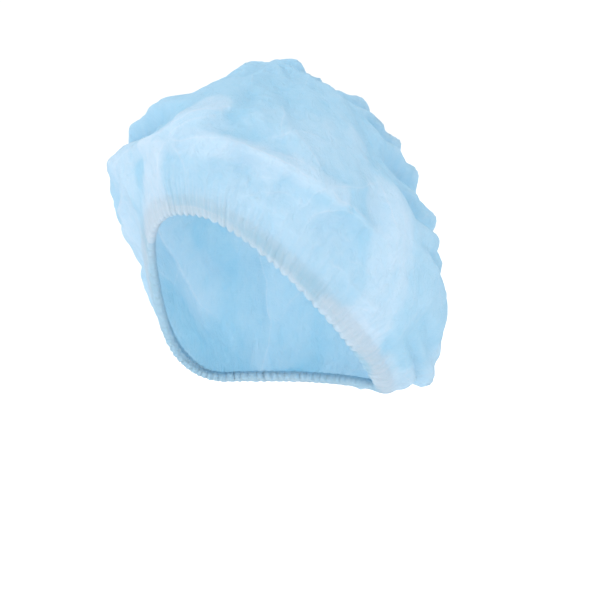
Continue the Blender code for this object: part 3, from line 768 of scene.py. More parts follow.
def crest_strength(points, outward, reach):
    """How sharply the cloth is bent outwards at each point, from -1 in a hollow to 1 on a crest.

    It is tanh(reach * (bend - the smooth crown's)). The bend is the height of a point over the
    middle of its neighbours on both sides, over the square of their distance, summed up and
    round the crown.
    """
    total = np.zeros(points.shape[:2])
    for axis in (0, 1):
        before, after = np.roll(points, 1, axis=axis), np.roll(points, -1, axis=axis)
        if axis == 1:
            before[:, 0], after[:, -1] = points[:, 0], points[:, -1]
        rise = np.sum((2.0 * points - before - after) * outward, axis=-1)
        gap = 0.25 * np.sum((after - before) ** 2, axis=-1)
        bend = rise / np.maximum(gap, 1e-7)
        if axis == 1:
            bend[:, 0], bend[:, -1] = bend[:, 1], bend[:, -2]
        total += bend
    return np.tanh(reach * (total - SMOOTH_BEND))


def join_rings(lower, upper):
    """Faces between two rings of indices, the lower with as many points as the upper or twice."""
    after = np.roll(upper, -1)
    if len(lower) == len(upper):
        return np.stack([lower, np.roll(lower, -1), after, upper], axis=1).tolist()
    first, middle, last = lower[0::2], lower[1::2], np.roll(lower[0::2], -1)
    fans = [(first, middle, upper), (middle, after, upper), (middle, last, after)]
    return np.concatenate([np.stack(fan, axis=1) for fan in fans]).tolist()


def mesh_from_rings(name, rings, apex=None):
    """A mesh through rings of points from the edge upwards, closed at an apex if there is one."""
    starts = np.cumsum([0] + [len(ring) for ring in rings])
    indices = [np.arange(start, start + len(ring)) for start, ring in zip(starts, rings)]
    faces = []
    for lower, upper in zip(indices, indices[1:]):
        faces += join_rings(lower, upper)
    points = np.concatenate(rings)
    if apex is not None:
        top = indices[-1]
        faces += np.stack([top, np.roll(top, -1), np.full_like(top, len(points))], axis=1).tolist()
        points = np.concatenate([points, [apex]])
    mesh = bpy.data.meshes.new(name)
    mesh.from_pydata(points, [], faces)
    mesh.shade_smooth()
    return mesh


def give_uv(mesh, coordinates):
    """Store the flat cloth's coordinates, one pair a vertex, as the mesh's UV map."""
    corner = np.zeros(len(mesh.loops), np.int32)
    mesh.loops.foreach_get("vertex_index", corner)
    layer = mesh.uv_layers.new(name="flat_cloth")
    layer.data.foreach_set("uv", coordinates[corner].astype(np.float32).ravel())


# What the cloth's material reads at each point: its depth of colour with painted light and shade in
# it, the signed distance from the nearest crease line and that line's painted highlight, and how
# sharply the cloth is bent, for painted highlights on crests and painted shade in hollows
MARKS = ("tone_and_painted_light", "crease_side", "crease_whitening_and_highlight", "crest")


def give_value(mesh, name, values):
    """Store one number a vertex as a named attribute."""
    attribute = mesh.attributes.new(name, "FLOAT", "POINT")
    attribute.data.foreach_set("value", values.astype(np.float32))


def add_piece(name, mesh, finish, thickness=0.0):
    """Link a mesh as a piece of the cap, with its finish and, for cloth, its thickness inwards."""
    piece = bpy.data.objects.new(name, mesh)
    mesh.materials.append(finish)
    bpy.context.scene.collection.objects.link(piece)
    if thickness:
        wall = piece.modifiers.new("cloth thickness", "SOLIDIFY")
        wall.thickness = thickness
        wall.offset = -1.0
        wall.use_rim = True
    return piece


def tone_and_painted_light(azimuth, level, points, lift):
    """How deep the cloth's colour looks, with painted light and shade in it: low where light is
    painted, high where shade is painted.

    It is 1 less the paleness. That is the strongest patch of painted light there, with the patches
    of painted shade taken off, noise of the cloth's own uneven tone added, and a share of the
    folds' height, as painted light on raised folds and painted shade on sunk ones. The patches'
    borders are broken up by noise and by upright streaks.
    """
    degrees = np.degrees(azimuth)
    broken = layered_noise(points, BROKEN)
    streaks = layered_noise(points * np.array([1.0, 1.0, STREAK_SQUEEZE]), STREAKS)
    pale = np.zeros_like(degrees)
    for _, *run, reach, strength in PAINTED_LIGHT_PATCHES:
        distance, _, _ = run_distance(degrees, level, run[:2], run[2:])
        border = reach * (1.0 + BORDER_BROKEN * broken + BORDER_STREAKED * streaks)
        patch = strength * (1.0 - smoothstep((distance - 0.55 * border) / (0.65 * border)))
        pale = np.maximum(pale, patch) if strength > 0.0 else pale + patch
    pale = pale + PALE_BROKEN * broken + PALE_STREAKED * streaks
    pale = pale + PALE_MOTTLED * layered_noise(points, MOTTLED)
    # Painted light on raised folds and painted shade in sunk ones
    pale = pale + FOLD_PAINTED_LIGHT * np.tanh(lift / RAISED_HEIGHT)
    return np.clip(1.0 - pale, *DEPTH_RANGE)


# Node trees


def new_group(name, inputs, outputs):
    """An empty shader node group with named number, colour or vector sockets."""
    group = bpy.data.node_groups.new(name, "ShaderNodeTree")
    for label, kind, value in inputs:
        socket = group.interface.new_socket(name=label, in_out="INPUT", socket_type=kind)
        if value is not None:
            socket.default_value = value
    for label, kind in outputs:
        group.interface.new_socket(name=label, in_out="OUTPUT", socket_type=kind)
    return group, group.nodes.new("NodeGroupInput"), group.nodes.new("NodeGroupOutput")


def math_node(tree, operation, first, second):
    """A maths node whose inputs are sockets or numbers, and its result."""
    node = tree.nodes.new("ShaderNodeMath")
    node.operation = operation
    for socket, value in zip(node.inputs, (first, second)):
        if isinstance(value, bpy.types.NodeSocket):
            tree.links.new(value, socket)
        else:
            socket.default_value = value
    return node.outputs[0]


def scaled(tree, vector, factor):
    """A vector socket times a number or a number's socket."""
    node = tree.nodes.new("ShaderNodeVectorMath")
    node.operation = "SCALE"
    tree.links.new(vector, node.inputs[0])
    if isinstance(factor, bpy.types.NodeSocket):
        tree.links.new(factor, node.inputs["Scale"])
    else:
        node.inputs["Scale"].default_value = factor
    return node.outputs[0]


def blend_shaders(tree, first, second):
    """Mix two shaders into the material's surface, and give back the mix's factor input."""
    blend = tree.nodes.new("ShaderNodeMixShader")
    tree.links.new(first.outputs[0], blend.inputs[1])
    tree.links.new(second.outputs[0], blend.inputs[2])
    tree.links.new(blend.outputs[0], tree.nodes["Material Output"].inputs["Surface"])
    return blend.inputs["Fac"]


def set_inputs(node, numbers):
    """Set a node's inputs to the numbers or colours under their names."""
    for label, number in numbers.items():
        node.inputs[label].default_value = number


def noise_node(tree, vector, scale, detail, roughness=0.5, distortion=0.0):
    """Noise over a vector socket, from 0 to 1 with its middle at 0.5."""
    node = tree.nodes.new("ShaderNodeTexNoise")
    tree.links.new(vector, node.inputs["Vector"])
    set_inputs(node, {"Scale": scale, "Detail": detail, "Roughness": roughness})
    node.inputs["Distortion"].default_value = distortion
    return node.outputs["Fac"]


def from_middle(tree, value, middle):
    """A value less its middle, without its sign."""
    return math_node(tree, "ABSOLUTE", math_node(tree, "SUBTRACT", value, middle), 0.0)


def eased_down(tree, value, start, end):
    """1 below the start, 0 above the end, and eased between them."""
    node = tree.nodes.new("ShaderNodeMapRange")
    node.interpolation_type = "SMOOTHSTEP"
    set_inputs(node, {"From Min": start, "From Max": end, "To Min": 1.0, "To Max": 0.0})
    tree.links.new(value, node.inputs["Value"])
    return node.outputs[0]


def mixed_colours(tree, factor, first, second):
    """The mix of two fixed colours by a factor's socket."""
    node = tree.nodes.new("ShaderNodeMix")
    node.data_type = "RGBA"
    sockets = [socket for socket in node.inputs if socket.type == "RGBA"]
    for socket, colour in zip(sockets, (first, second)):
        socket.default_value = (*colour, 1.0)
    tree.links.new(factor, node.inputs[0])
    return [socket for socket in node.outputs if socket.type == "RGBA"][0]


def relief(tree, height, strength, distance):
    """A bump node for a height's socket."""
    node = tree.nodes.new("ShaderNodeBump")
    set_inputs(node, {"Strength": strength, "Distance": distance})
    tree.links.new(height, node.inputs["Height"])
    return node


def attribute_value(tree, name):
    """The number stored on the mesh under a name."""
    node = tree.nodes.new("ShaderNodeAttribute")
    node.attribute_name = name
    return node.outputs["Fac"]


def uv_vector(tree):
    """The flat cloth's coordinates in metres."""
    node = tree.nodes.new("ShaderNodeUVMap")
    node.uv_map = "flat_cloth"
    return node.outputs[0]


def group_node(tree, name, make, numbers):
    """A group over the flat cloth's coordinates, which is made at its first use."""
    node = tree.nodes.new("ShaderNodeGroup")
    node.node_tree = bpy.data.node_groups.get(name) or make(name)
    set_inputs(node, numbers)
    tree.links.new(uv_vector(tree), node.inputs["Vector"])
    return node


def new_material(name):
    """An empty material, its nodes and its shader."""
    material = bpy.data.materials.new(name)
    material.use_nodes = True
    return material, material.node_tree, material.node_tree.nodes["Principled BSDF"]


def web_group(name):
    """Spun web: clouds of thick and thin, loose fibres, and a lattice of small bond points."""
    group, given, result = new_group(
        name,
        [
            ("Vector", "NodeSocketVector", None),
            ("Bond pitch", "NodeSocketFloat", 0.0016),
            ("Cloudiness", "NodeSocketFloat", 1.6),
        ],
        [("Thickness", "NodeSocketFloat"), ("Height", "NodeSocketFloat")],
    )
    vector = given.outputs["Vector"]
    clouds = noise_node(group, vector, 110.0, 3.0, 0.6)
    fibres = noise_node(group, vector, 520.0, 4.0, 0.7, 2.5)
    threads = math_node(group, "MULTIPLY", from_middle(group, fibres, 0.5), 2.4)
    bonds = group.nodes.new("ShaderNodeTexVoronoi")
    set_inputs(bonds, {"Randomness": 0.12, "Scale": 1.0})
    turned = group.nodes.new("ShaderNodeMapping")
    turned.inputs["Rotation"].default_value = (0.0, 0.0, math.radians(45.0))
    inverse = math_node(group, "DIVIDE", 1.0, given.outputs["Bond pitch"])
    group.links.new(scaled(group, vector, inverse), turned.inputs["Vector"])
    group.links.new(turned.outputs[0], bonds.inputs["Vector"])
    dot = eased_down(group, bonds.outputs["Distance"], 0.20, 0.34)
    cloudy = math_node(group, "SUBTRACT", clouds, 0.5)
    cloudy = math_node(group, "MULTIPLY", cloudy, given.outputs["Cloudiness"])
    thickness = math_node(group, "ADD", cloudy, math_node(group, "MULTIPLY", threads, 0.9))
    thin = math_node(group, "MULTIPLY", dot, 0.30)
    thickness = math_node(group, "SUBTRACT", thickness, thin)
    group.links.new(math_node(group, "ADD", thickness, 0.30), result.inputs["Thickness"])
    height = math_node(group, "SUBTRACT", threads, math_node(group, "MULTIPLY", dot, 0.8))
    group.links.new(height, result.inputs["Height"])
    return group


def crinkle_group(name):
    """Fine crinkles of crushed cloth: bent ridges of two sizes where noise passes its middle."""
    group, given, result = new_group(
        name,
        [("Vector", "NodeSocketVector", None), ("Scale", "NodeSocketFloat", 120.0)],
        [("Height", "NodeSocketFloat")],
    )
    vector = scaled(group, given.outputs["Vector"], given.outputs["Scale"])
    total = 0.0
    for scale, share in ((1.0, 1.0), (2.3, 0.5)):
        away = from_middle(group, noise_node(group, vector, scale, 1.0, 0.5, 0.8), 0.5)
        rise = math_node(group, "MULTIPLY", math_node(group, "SUBTRACT", 0.5, away), 2.0 * share)
        total = math_node(group, "ADD", rise, total)
    group.links.new(math_node(group, "DIVIDE", total, 1.5), result.inputs["Height"])
    return group


def crease_line(tree, look):
    """Mask of the thin pale lines, a painted highlight along each crease that is partly the
    whitening of pressed fibres: 1 where the signed distance from a crease is nearly 0.
    """
    side = from_middle(tree, attribute_value(tree, "crease_side"), 0.0)
    wobble = noise_node(tree, uv_vector(tree), 160.0, 2.0)
    core = eased_down(tree, side, 0.0, look.line_width / LINE_REACH)
    strength = math_node(tree, "MULTIPLY", core, attribute_value(tree, "crease_whitening_and_highlight"))
    return math_node(tree, "MULTIPLY", strength, math_node(tree, "ADD", wobble, 0.4))


def cloth_material(name, look):
    """Thin spun cloth: light scatters off it and through it; paler where its web is thin, with
    painted light and shade, and painted highlights on crests, crinkles and creases.
    """
    material, tree, shader = new_material(name)
    web = group_node(tree, "Spun web", web_group, {"Bond pitch": look.bond_pitch})
    crinkle = group_node(tree, "Fine crinkle", crinkle_group, {"Scale": look.crinkle_scale})
    # Depth of colour: the stored depth with its painted light and shade, and the web's clouds, less
    # the painted highlights of crests, crease lines and crinkle ridges; hollows and the dips
    # between crinkles get painted shade
    cloudy = math_node(tree, "SUBTRACT", web.outputs["Thickness"], 0.45)
    cloudy = math_node(tree, "MULTIPLY", cloudy, 0.55)
    deep = math_node(tree, "ADD", attribute_value(tree, "tone_and_painted_light"), cloudy)
    ridges = math_node(tree, "SUBTRACT", crinkle.outputs["Height"], 0.75)
    for paler, share in (
        (attribute_value(tree, "crest"), look.crest_painted_light),
        (crease_line(tree, look), look.line_whitening_and_highlight),
        (ridges, look.crinkle_painted_light),
    ):
        deep = math_node(tree, "SUBTRACT", deep, math_node(tree, "MULTIPLY", paler, share))
    ranged = tree.nodes.new("ShaderNodeMapRange")
    set_inputs(ranged, {"From Min": DEPTH_RANGE[0], "From Max": DEPTH_RANGE[1]})
    tree.links.new(deep, ranged.inputs["Value"])
    colour = mixed_colours(tree, ranged.outputs[0], look.pale, look.deep)
    creased = relief(tree, crinkle.outputs["Height"], look.crinkle, 0.003)
    bump = relief(tree, web.outputs["Height"], look.web_relief, 0.0002)
    tree.links.new(creased.outputs["Normal"], bump.inputs["Normal"])
    through = tree.nodes.new("ShaderNodeBsdfTranslucent")
    tree.links.new(colour, shader.inputs["Base Color"])
    tree.links.new(colour, through.inputs["Color"])
    for lit in (shader, through):
        tree.links.new(bump.outputs["Normal"], lit.inputs["Normal"])
    set_inputs(shader, {"Roughness": look.roughness, "Metallic": 0.0, "Specular IOR Level": 0.25})
    set_inputs(shader, {"Sheen Weight": 0.12, "Sheen Roughness": 0.5})
    blend_shaders(tree, shader, through).default_value = look.see_through
    return material


def elastic_material(name, look):
    """White knitted elastic: fine ribs along the loop and a cross weave, in relief and shade."""
    material, tree, shader = new_material(name)
    waves = []
    for direction, scale, distortion in (
        ("Y", look.elastic_ribs, 0.4),
        ("X", 1.6 * look.elastic_ribs, 0.0),
    ):
        wave = tree.nodes.new("ShaderNodeTexWave")
        wave.bands_direction = direction
        set_inputs(wave, {"Scale": scale, "Distortion": distortion})
        tree.links.new(uv_vector(tree), wave.inputs["Vector"])
        waves.append(wave.outputs["Fac"])
    knit = math_node(tree, "MULTIPLY", waves[0], math_node(tree, "ADD", waves[1], 0.4))
    shaded = [0.86 * channel for channel in look.elastic]
    colour = mixed_colours(tree, knit, shaded, look.elastic)
    tree.links.new(colour, shader.inputs["Base Color"])
    bump = relief(tree, knit, 0.6, 0.0002)
    tree.links.new(bump.outputs["Normal"], shader.inputs["Normal"])
    shader.inputs["Roughness"].default_value = 0.7
    return material


def floor_material(name):
    """A pale matt floor with a little light of its own, clear when seen from below."""
    material, tree, shader = new_material(name)
    set_inputs(shader, {"Base Color": (*FLOOR_COLOUR, 1.0), "Roughness": 0.9})
    set_inputs(shader, {"Specular IOR Level": 0.1, "Emission Color": (1.0, 1.0, 1.0, 1.0)})
    shader.inputs["Emission Strength"].default_value = FLOOR_GLOW
    clear = tree.nodes.new("ShaderNodeBsdfTransparent")
    geometry = tree.nodes.new("ShaderNodeNewGeometry")
    factor = blend_shaders(tree, shader, clear)
    tree.links.new(geometry.outputs["Backfacing"], factor)
    return material


def length_property(name, description, default):
    """A length in metres."""
    return bpy.props.FloatProperty(
        name=name, description=description, default=default, unit="LENGTH"
    )


def share_property(name, description, default):
    """A share or a strength."""
    return bpy.props.FloatProperty(
        name=name, description=description, default=default, subtype="FACTOR"
    )


def colour_property(name, description, default):
    """A colour in linear light."""
    return bpy.props.FloatVectorProperty(
        name=name, description=description, default=default, subtype="COLOR"
    )


class CapSizes(bpy.types.PropertyGroup):
    """Sizes of the cloth, its gathers and its creases."""

    pleats: bpy.props.IntProperty(
        name="Pleats", description="Small pleats round the gathered edge", default=96, min=8
    )
    pleat_depth: length_property(
        "Pleat depth", "From crest to hollow of a small pleat of the solids", 0.0032
    )
    pleat_height: length_property("Pleat height", "Height of the shown small pleats", 0.0008)
    pleat_length: length_property(
        "Pleat length", "How far the small pleats run up the crown", 0.026
    )
    tooth: length_property(
        "Tooth height", "How far each pleat reaches below the next hollow", 0.0026
    )
    inner_pleat: length_property(
        "Inner pleat depth", "Pleats of the hem's inner side in the solids", 0.0008
    )
    hem_width: length_property("Hem width", "Depth of the turned-in hem", 0.0095)
    hem_turn: share_property("Hem turn", "Share of the hem's width taken by its turn", 0.25)
    wall: length_property("Solid wall", "Wall of the cloth in the solids", 0.001)
    clearance: length_property("Clearance", "Room left round the elastic", 0.0004)
    elastic_width: length_property("Elastic width", "Width of the flat elastic", 0.0045)
    elastic_thickness: length_property("Elastic thickness", "Thickness of the flat elastic", 0.0012)
    thickness: length_property("Cloth thickness", "Thickness of the shown cloth", 0.00035)
    crease_height: length_property("Crease height", "Height of a full sharp crease", 0.0024)
    crease_width: length_property("Crease width", "Reach of a sharp crease's slopes", 0.0055)
    crease_radius: length_property("Crease radius", "Roundness of a sharp crease's top", 0.0010)
    crumple: share_property("Crumple", "Strength of the crumples all over the crown", 1.0)
    free_height: length_property(
        "Free height", "Height over the hem in which the folds grow to their full size", 0.014
    )
    ease: length_property("Ease", "How far the slack cloth lies inside its full form", 0.0014)
    tuck: length_property("Tuck", "How far the hem lies inside the crown's outer face", 0.0006)
    weld_height: length_property(
        "Weld height", "Height of the faint line that joins the hem to the cloth", 0.0060
    )
    crest_reach: length_property(
        "Crest reach", "Radius of the bends that show as pale crests", 0.0022
    )
    flat_diameter: length_property(
        "Cut diameter", "Diameter of the round that the cap was cut to", 0.48
    )


class CapLook(bpy.types.PropertyGroup):
    """Colours and finish of the cloth and the elastic, and strengths of the cloth's painted light
    and shade.
    """

    # The pale and deep blues are mixed by the stored depth, which holds painted light and shade as
    # well as the cloth's own uneven tone
    pale: colour_property("Pale blue", "The cloth where it is thin", (0.785, 0.880, 0.950))
    deep: colour_property(
        "Deep blue", "The cloth where it is slack or doubled", (0.535, 0.785, 0.903)
    )
    roughness: share_property("Roughness", "Roughness of the cloth", 0.72)
    see_through: share_property("Light through", "Share of the light that scatters through", 0.55)
    bond_pitch: length_property("Bond pitch", "Distance between the web's bond points", 0.0016)
    # Painted highlight on crests and painted shade in hollows
    crest_painted_light: share_property("Crest paleness", "How much paler the sharp bends are", 0.16)
    # Painted highlight along the crease lines, partly the whitening of pressed fibres
    line_whitening_and_highlight: share_property("Line paleness", "How much paler the crease lines are", 0.50)
    line_width: length_property("Line width", "Half the width of a crease line", 0.0009)
    web_relief: share_property("Web relief", "Strength of the web's fine relief", 0.45)
    crinkle: share_property("Crinkle", "Strength of the fine crinkles", 0.38)
    # Painted highlight on the fine crinkles' ridges and painted shade between them
    crinkle_painted_light: share_property(
        "Crinkle tone", "How much paler the fine crinkles' ridges are", 0.55
    )
    crinkle_scale: bpy.props.FloatProperty(
        name="Crinkle scale", description="Fine crinkles in a metre of flat cloth", default=110.0
    )
    elastic: colour_property("Elastic", "Colour of the elastic", (0.84, 0.87, 0.88))
    elastic_ribs: bpy.props.FloatProperty(
        name="Elastic ribs", description="Ribs of the elastic's knit, a metre of it", default=420.0
    )


class CapStage(bpy.types.PropertyGroup):
    """Camera, light and floor."""

    azimuth: bpy.props.FloatProperty(
        name="Azimuth", description="Camera's turn round the cap",
        default=math.radians(38.0), subtype="ANGLE"
    )
    elevation: bpy.props.FloatProperty(
        name="Elevation", description="Camera's height angle",
        default=math.radians(5.0), subtype="ANGLE"
    )
    distance: length_property("Distance", "Camera's distance from the origin", 1.3)
    floor_depth: length_property("Floor depth", "How far the floor lies below the origin", 0.30)
    room_light: bpy.props.FloatProperty(
        name="Room light", description="Strength of the light from all round", default=1.05
    )
    key_light: bpy.props.FloatProperty(
        name="Key light", description="Power of the large light in front", default=9.0, unit="POWER"
    )


def hem_parts(sizes):
    """Depth of the hem from its outer face to its inner face, and the height of its turn."""
    pleats = 0.5 * (sizes.pleat_depth + sizes.inner_pleat)
    depth = pleats + 2.0 * (sizes.wall + sizes.clearance) + sizes.elastic_thickness
    return depth, sizes.hem_turn * sizes.hem_width


def hem_surface(azimuth, above, inward, share, tooth, sizes):
    """Points inside the crown's face, in rows at heights above the edge and distances inward.

    They follow a share of the crown's lift outwards, and a share of the teeth downwards.
    """
    distance = np.broadcast_to(above, (len(azimuth), len(above)))
    level = levels_at(azimuth, distance)
    around = np.broadcast_to(azimuth[:, None], level.shape)
    outward, along = frame_at(around, level)
    points = envelope(around, level)
    lift, _, _ = crown_lift(around, distance, level, points, sizes)
    down = tooth * tooth_drop(around, distance, sizes)
    return points + (share * lift - inward)[..., None] * outward - down[..., None] * along


class CAP_OT_crown(bpy.types.Operator):
    """Build the slack crown of the cap, from its gathers up to its closed top"""

    bl_idname = "cap.crown"
    bl_label = "Crown"

    def execute(self, context):
        sizes, look = context.scene.cap_sizes, context.scene.cap_look
        full = 8 * sizes.pleats
        # Up from under the edge, round the turn, over the hem and up the gathers
        low_above, low_inward, low_tooth = edge_turn(sizes, TURN_START, 0.0, TURN_ROWS)
        _, turn = hem_parts(sizes)
        hem_rows = np.linspace(turn, sizes.hem_width, HEM_ROWS + 1)[1:]
        gathers = sizes.hem_width + np.linspace(0.0, GATHER_HEIGHT, GATHER_ROWS)[1:]
        first = np.concatenate([low_above, hem_rows, gathers])
        plain = np.zeros(len(hem_rows) + len(gathers))
        inward = np.concatenate([low_inward, plain])
        tooth = np.concatenate([low_tooth, plain])
        rings, flat, marks = [], [], []
        # Each band has half the columns of the band under it, and rows at shares of the way up
        bands = (
            (full, None),
            (full // 2, np.arange(1, BODY_ROWS + 1) / BODY_ROWS * BODY_END),
            (full // 4, np.linspace(BODY_END, UPPER_END, UPPER_ROWS + 1)[1:]),
            (full // 8, np.linspace(UPPER_END, 1.0, TOP_ROWS + 2)[1:-1]),
        )
        for columns, shares in bands:
            _, arcs = arc_table(column_azimuths(columns))
            whole = arcs[:, -1:]
            distances = np.broadcast_to(first, (columns, len(first)))
            if shares is not None:
                distances = gathers[-1] + shares * (whole - gathers[-1])
                inward, tooth = np.zeros(distances.shape), np.zeros(distances.shape)
            points, around, band_marks = crown_band(columns, distances, inward, tooth, sizes)
            radius = 0.5 * sizes.flat_diameter * (1.0 - distances / whole)
            spread = np.stack([radius * np.sin(around), radius * np.cos(around)], axis=-1)
            rings += list(points.transpose(1, 0, 2))
            marks.append(np.stack(band_marks).transpose(0, 2, 1).reshape(len(MARKS), -1))
            flat.append(spread.transpose(1, 0, 2).reshape(-1, 2))
        apex = rings[-1].mean(axis=0)
        marks.append(marks[-1][:, -1:])
        flat.append([[0.0, 0.0]])
        mesh = mesh_from_rings("crown_cloth", rings, apex)
        give_uv(mesh, np.concatenate(flat))
        for name, values in zip(MARKS, np.concatenate(marks, axis=1)):
            give_value(mesh, name, values)
        finish = cloth_material("spun cloth", look)
        crown = add_piece("crown_cloth", mesh, finish, sizes.thickness)
        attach(crown, "root")
        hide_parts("crown")
        return {"FINISHED"}


class CAP_OT_hem(bpy.types.Operator):
    """Build the hem: the cloth's edge turned in round the elastic, with its teeth"""

    bl_idname = "cap.hem"
    bl_label = "Gathered hem"

    def execute(self, context):
        sizes, look = context.scene.cap_sizes, context.scene.cap_look
        depth, turn = hem_parts(sizes)
        azimuth = column_azimuths(8 * sizes.pleats)
        # From the inner face's top down, round the turn, and up under the crown's outer face
        closing, closed = np.array(HEM_CLOSING).T * [[sizes.hem_width], [depth]]
        sides = np.linspace(turn, HEM_SIDE_END * sizes.hem_width, HEM_SIDE_ROWS + 1)
        inner, outer = sides[:0:-1], sides[1:]
        above, inward, tooth = edge_turn(sizes, 1.0, 0.0, HEM_TURN_ROWS)
        under = np.clip((0.62 * depth - inward) / (0.2 * depth), 0.0, 1.0) * sizes.tuck
        above = np.concatenate([closing, inner, above + under, outer])
        inner_face, outer_face = np.full_like(inner, depth), np.full_like(outer, sizes.tuck)
        inward = np.concatenate([closed, inner_face, inward + under, outer_face])
        tooth = np.pad(tooth, (len(closing) + len(inner), len(outer)))
        points = hem_surface(azimuth, above, inward, 1.0, tooth, sizes)
        rings = list(points.transpose(1, 0, 2))
        mesh = mesh_from_rings("hem_cloth", rings)
        steps = np.hypot(np.gradient(above), np.gradient(inward))
        radius = 0.5 * sizes.flat_diameter + np.cumsum(steps)[:, None]
        around = np.broadcast_to(azimuth, (len(radius), len(azimuth)))
        flat = np.stack([radius * np.sin(around), radius * np.cos(around)], axis=-1)
        give_uv(mesh, flat.reshape(-1, 2))
        level = np.zeros_like(around)
        outward, _ = frame_at(around.T, level.T)
        crest = crest_strength(points, outward, sizes.crest_reach)
        crest *= 1.0 - 2.0 * inward / depth
        # Depth of colour with the painted light of the rim's patch, no crease lines, and the bends
        # for painted highlights and shade
        marks = (tone_and_painted_light(around, level, np.array(rings), level), 1.0 + level, level, crest.T)
        for name, values in zip(MARKS, marks):
            give_value(mesh, name, values.ravel())
        finish = cloth_material("doubled spun cloth", look)
        hem = add_piece("hem_cloth", mesh, finish, sizes.thickness)
        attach(hem, "root")
        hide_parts("gathered_hem")
        return {"FINISHED"}


class CAP_OT_elastic(bpy.types.Operator):
    """Build the elastic loop that lies inside the hem"""

    bl_idname = "cap.elastic"
    bl_label = "Elastic loop"

    def execute(self, context):
        sizes, look = context.scene.cap_sizes, context.scene.cap_look
        _, turn = hem_parts(sizes)
        azimuth = column_azimuths(4 * sizes.pleats)
        face = 0.5 * sizes.pleat_depth + sizes.wall + sizes.clearance
        low = turn + 0.5 * (sizes.hem_width - turn - sizes.elastic_width)
        # A rounded flat section, one point after another round it
        angle = column_azimuths(ELASTIC_POINTS)
        corners = np.stack([np.cos(angle), np.sin(angle)])
        across, upward = np.sign(corners) * np.abs(corners) ** ELASTIC_ROUNDNESS
        inward = face + 0.5 * sizes.elastic_thickness * (1.0 - across)
        above = low + 0.5 * sizes.elastic_width * (1.0 + upward)
        points = hem_surface(azimuth, above, inward, 0.0, 0.0, sizes)
        rings = list(points.transpose(1, 0, 2))
        mesh = mesh_from_rings("elastic_loop", rings + rings[:1])
        flat = np.stack(np.meshgrid(0.5 * sizes.flat_diameter * azimuth, above), axis=-1)
        flat = np.concatenate([flat, flat[:1]])
        give_uv(mesh, flat.reshape(-1, 2))
        finish = elastic_material("knitted elastic", look)
        elastic = add_piece("elastic_loop", mesh, finish)
        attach(elastic, "root")
        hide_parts("elastic_band")
        return {"FINISHED"}


class CAP_OT_declare(bpy.types.Operator):
    """An empty step: it changes nothing in the scene"""

    bl_idname = "cap.declare"
    bl_label = "Gathered sheet"

    def execute(self, context):
        return {"FINISHED"}


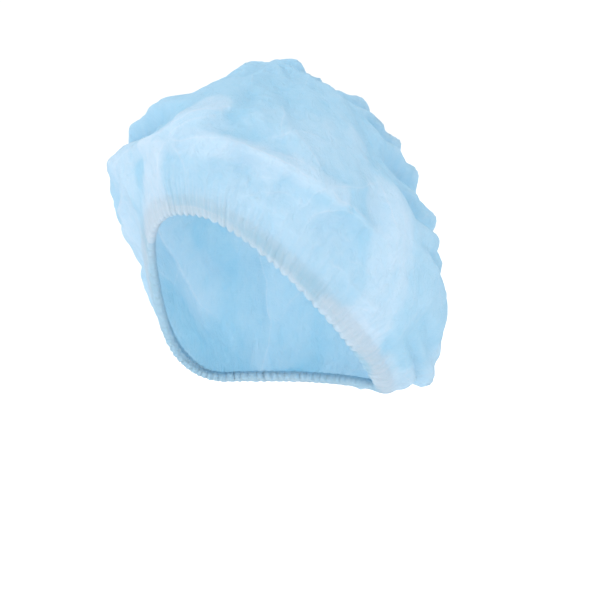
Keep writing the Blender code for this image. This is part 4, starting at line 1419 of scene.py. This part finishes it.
class CAP_OT_stage(bpy.types.Operator):
    """Set the floor, the soft light and the camera"""

    bl_idname = "cap.stage"
    bl_label = "Stage"

    def execute(self, context):
        scene, stage = context.scene, context.scene.cap_stage
        turn, tilt = stage.azimuth, stage.elevation
        away = math.cos(tilt)
        back = Vector((math.sin(turn) * away, -math.cos(turn) * away, math.sin(tilt)))
        right = Vector((math.cos(turn), math.sin(turn), 0.0))
        up = back.cross(right)
        middle = 0.5 * PICTURE_SIZE
        aside = (middle - ORIGIN_IN_PICTURE[0]) * METRES_A_PIXEL
        above = (ORIGIN_IN_PICTURE[1] - middle) * METRES_A_PIXEL
        camera_data = bpy.data.cameras.new("camera")
        camera_data.sensor_width = SENSOR_MM
        camera_data.lens = SENSOR_MM * stage.distance / (PICTURE_SIZE * METRES_A_PIXEL)
        camera = bpy.data.objects.new("camera", camera_data)
        scene.collection.objects.link(camera)
        place = right * aside + up * above + back * stage.distance
        turned = Matrix((right, up, back)).transposed().to_4x4()
        camera.matrix_world = Matrix.Translation(place) @ turned
        scene.camera = camera

        world = bpy.data.worlds.new("room")
        world.use_nodes = True
        background = world.node_tree.nodes["Background"]
        set_inputs(background, {"Color": (1.0, 1.0, 1.0, 1.0), "Strength": stage.room_light})
        scene.world = world
        scene.view_settings.view_transform = "Standard"
        scene.view_settings.look = "None"

        for name, place, size, share in LIGHTS:
            light_data = bpy.data.lights.new(name, "AREA")
            light_data.size = size
            light_data.energy = share * stage.key_light
            light = bpy.data.objects.new(name, light_data)
            scene.collection.objects.link(light)
            light.location = place
            light.rotation_euler = (-Vector(place)).to_track_quat("-Z", "Y").to_euler()

        corners = np.array([[-1, -1, 0], [1, -1, 0], [1, 1, 0], [-1, 1, 0]]) * FLOOR_REACH
        corners[:, 2] = -stage.floor_depth
        mesh = bpy.data.meshes.new("floor")
        mesh.from_pydata(corners, [], [(0, 1, 2, 3)])
        floor = bpy.data.objects.new("floor", mesh)
        mesh.materials.append(floor_material("pale floor"))
        scene.collection.objects.link(floor)
        return {"FINISHED"}


class CAP_PT_panel(bpy.types.Panel):
    """The cap's pieces, sizes and colours"""

    bl_idname = "CAP_PT_panel"
    bl_label = "Bouffant cap"
    bl_space_type = "VIEW_3D"
    bl_region_type = "UI"
    bl_category = "Cap"

    def draw(self, context):
        for name, operators in (
            ("cap_sizes", ("cap.crown", "cap.hem", "cap.elastic", "cap.declare")),
            ("cap_look", ()),
            ("cap_stage", ("cap.stage",)),
        ):
            group = getattr(context.scene, name)
            box = self.layout.box()
            for key in group.bl_rna.properties.keys():
                if key not in ("rna_type", "name"):
                    box.prop(group, key)
            for operator in operators:
                box.operator(operator)


CLASSES = (
    CapSizes, CapLook, CapStage, CAP_OT_crown, CAP_OT_hem, CAP_OT_elastic, CAP_OT_declare,
    CAP_OT_stage, CAP_PT_panel,
)


def register():
    """Add the cap's classes and its properties on the scene."""
    for entry in CLASSES:
        bpy.utils.register_class(entry)
    bpy.types.Scene.cap_sizes = bpy.props.PointerProperty(type=CapSizes)
    bpy.types.Scene.cap_look = bpy.props.PointerProperty(type=CapLook)
    bpy.types.Scene.cap_stage = bpy.props.PointerProperty(type=CapStage)


def unregister():
    """Take the cap's classes and properties away again."""
    del bpy.types.Scene.cap_sizes, bpy.types.Scene.cap_look, bpy.types.Scene.cap_stage
    for entry in reversed(CLASSES):
        bpy.utils.unregister_class(entry)


def main():
    """Build the cap and its stage."""
    register()
    bpy.ops.cap.crown()
    bpy.ops.cap.hem()
    bpy.ops.cap.elastic()
    bpy.ops.cap.declare()
    bpy.ops.cap.stage()
    bpy.context.view_layer.update()


if __name__ == "__main__":
    main()
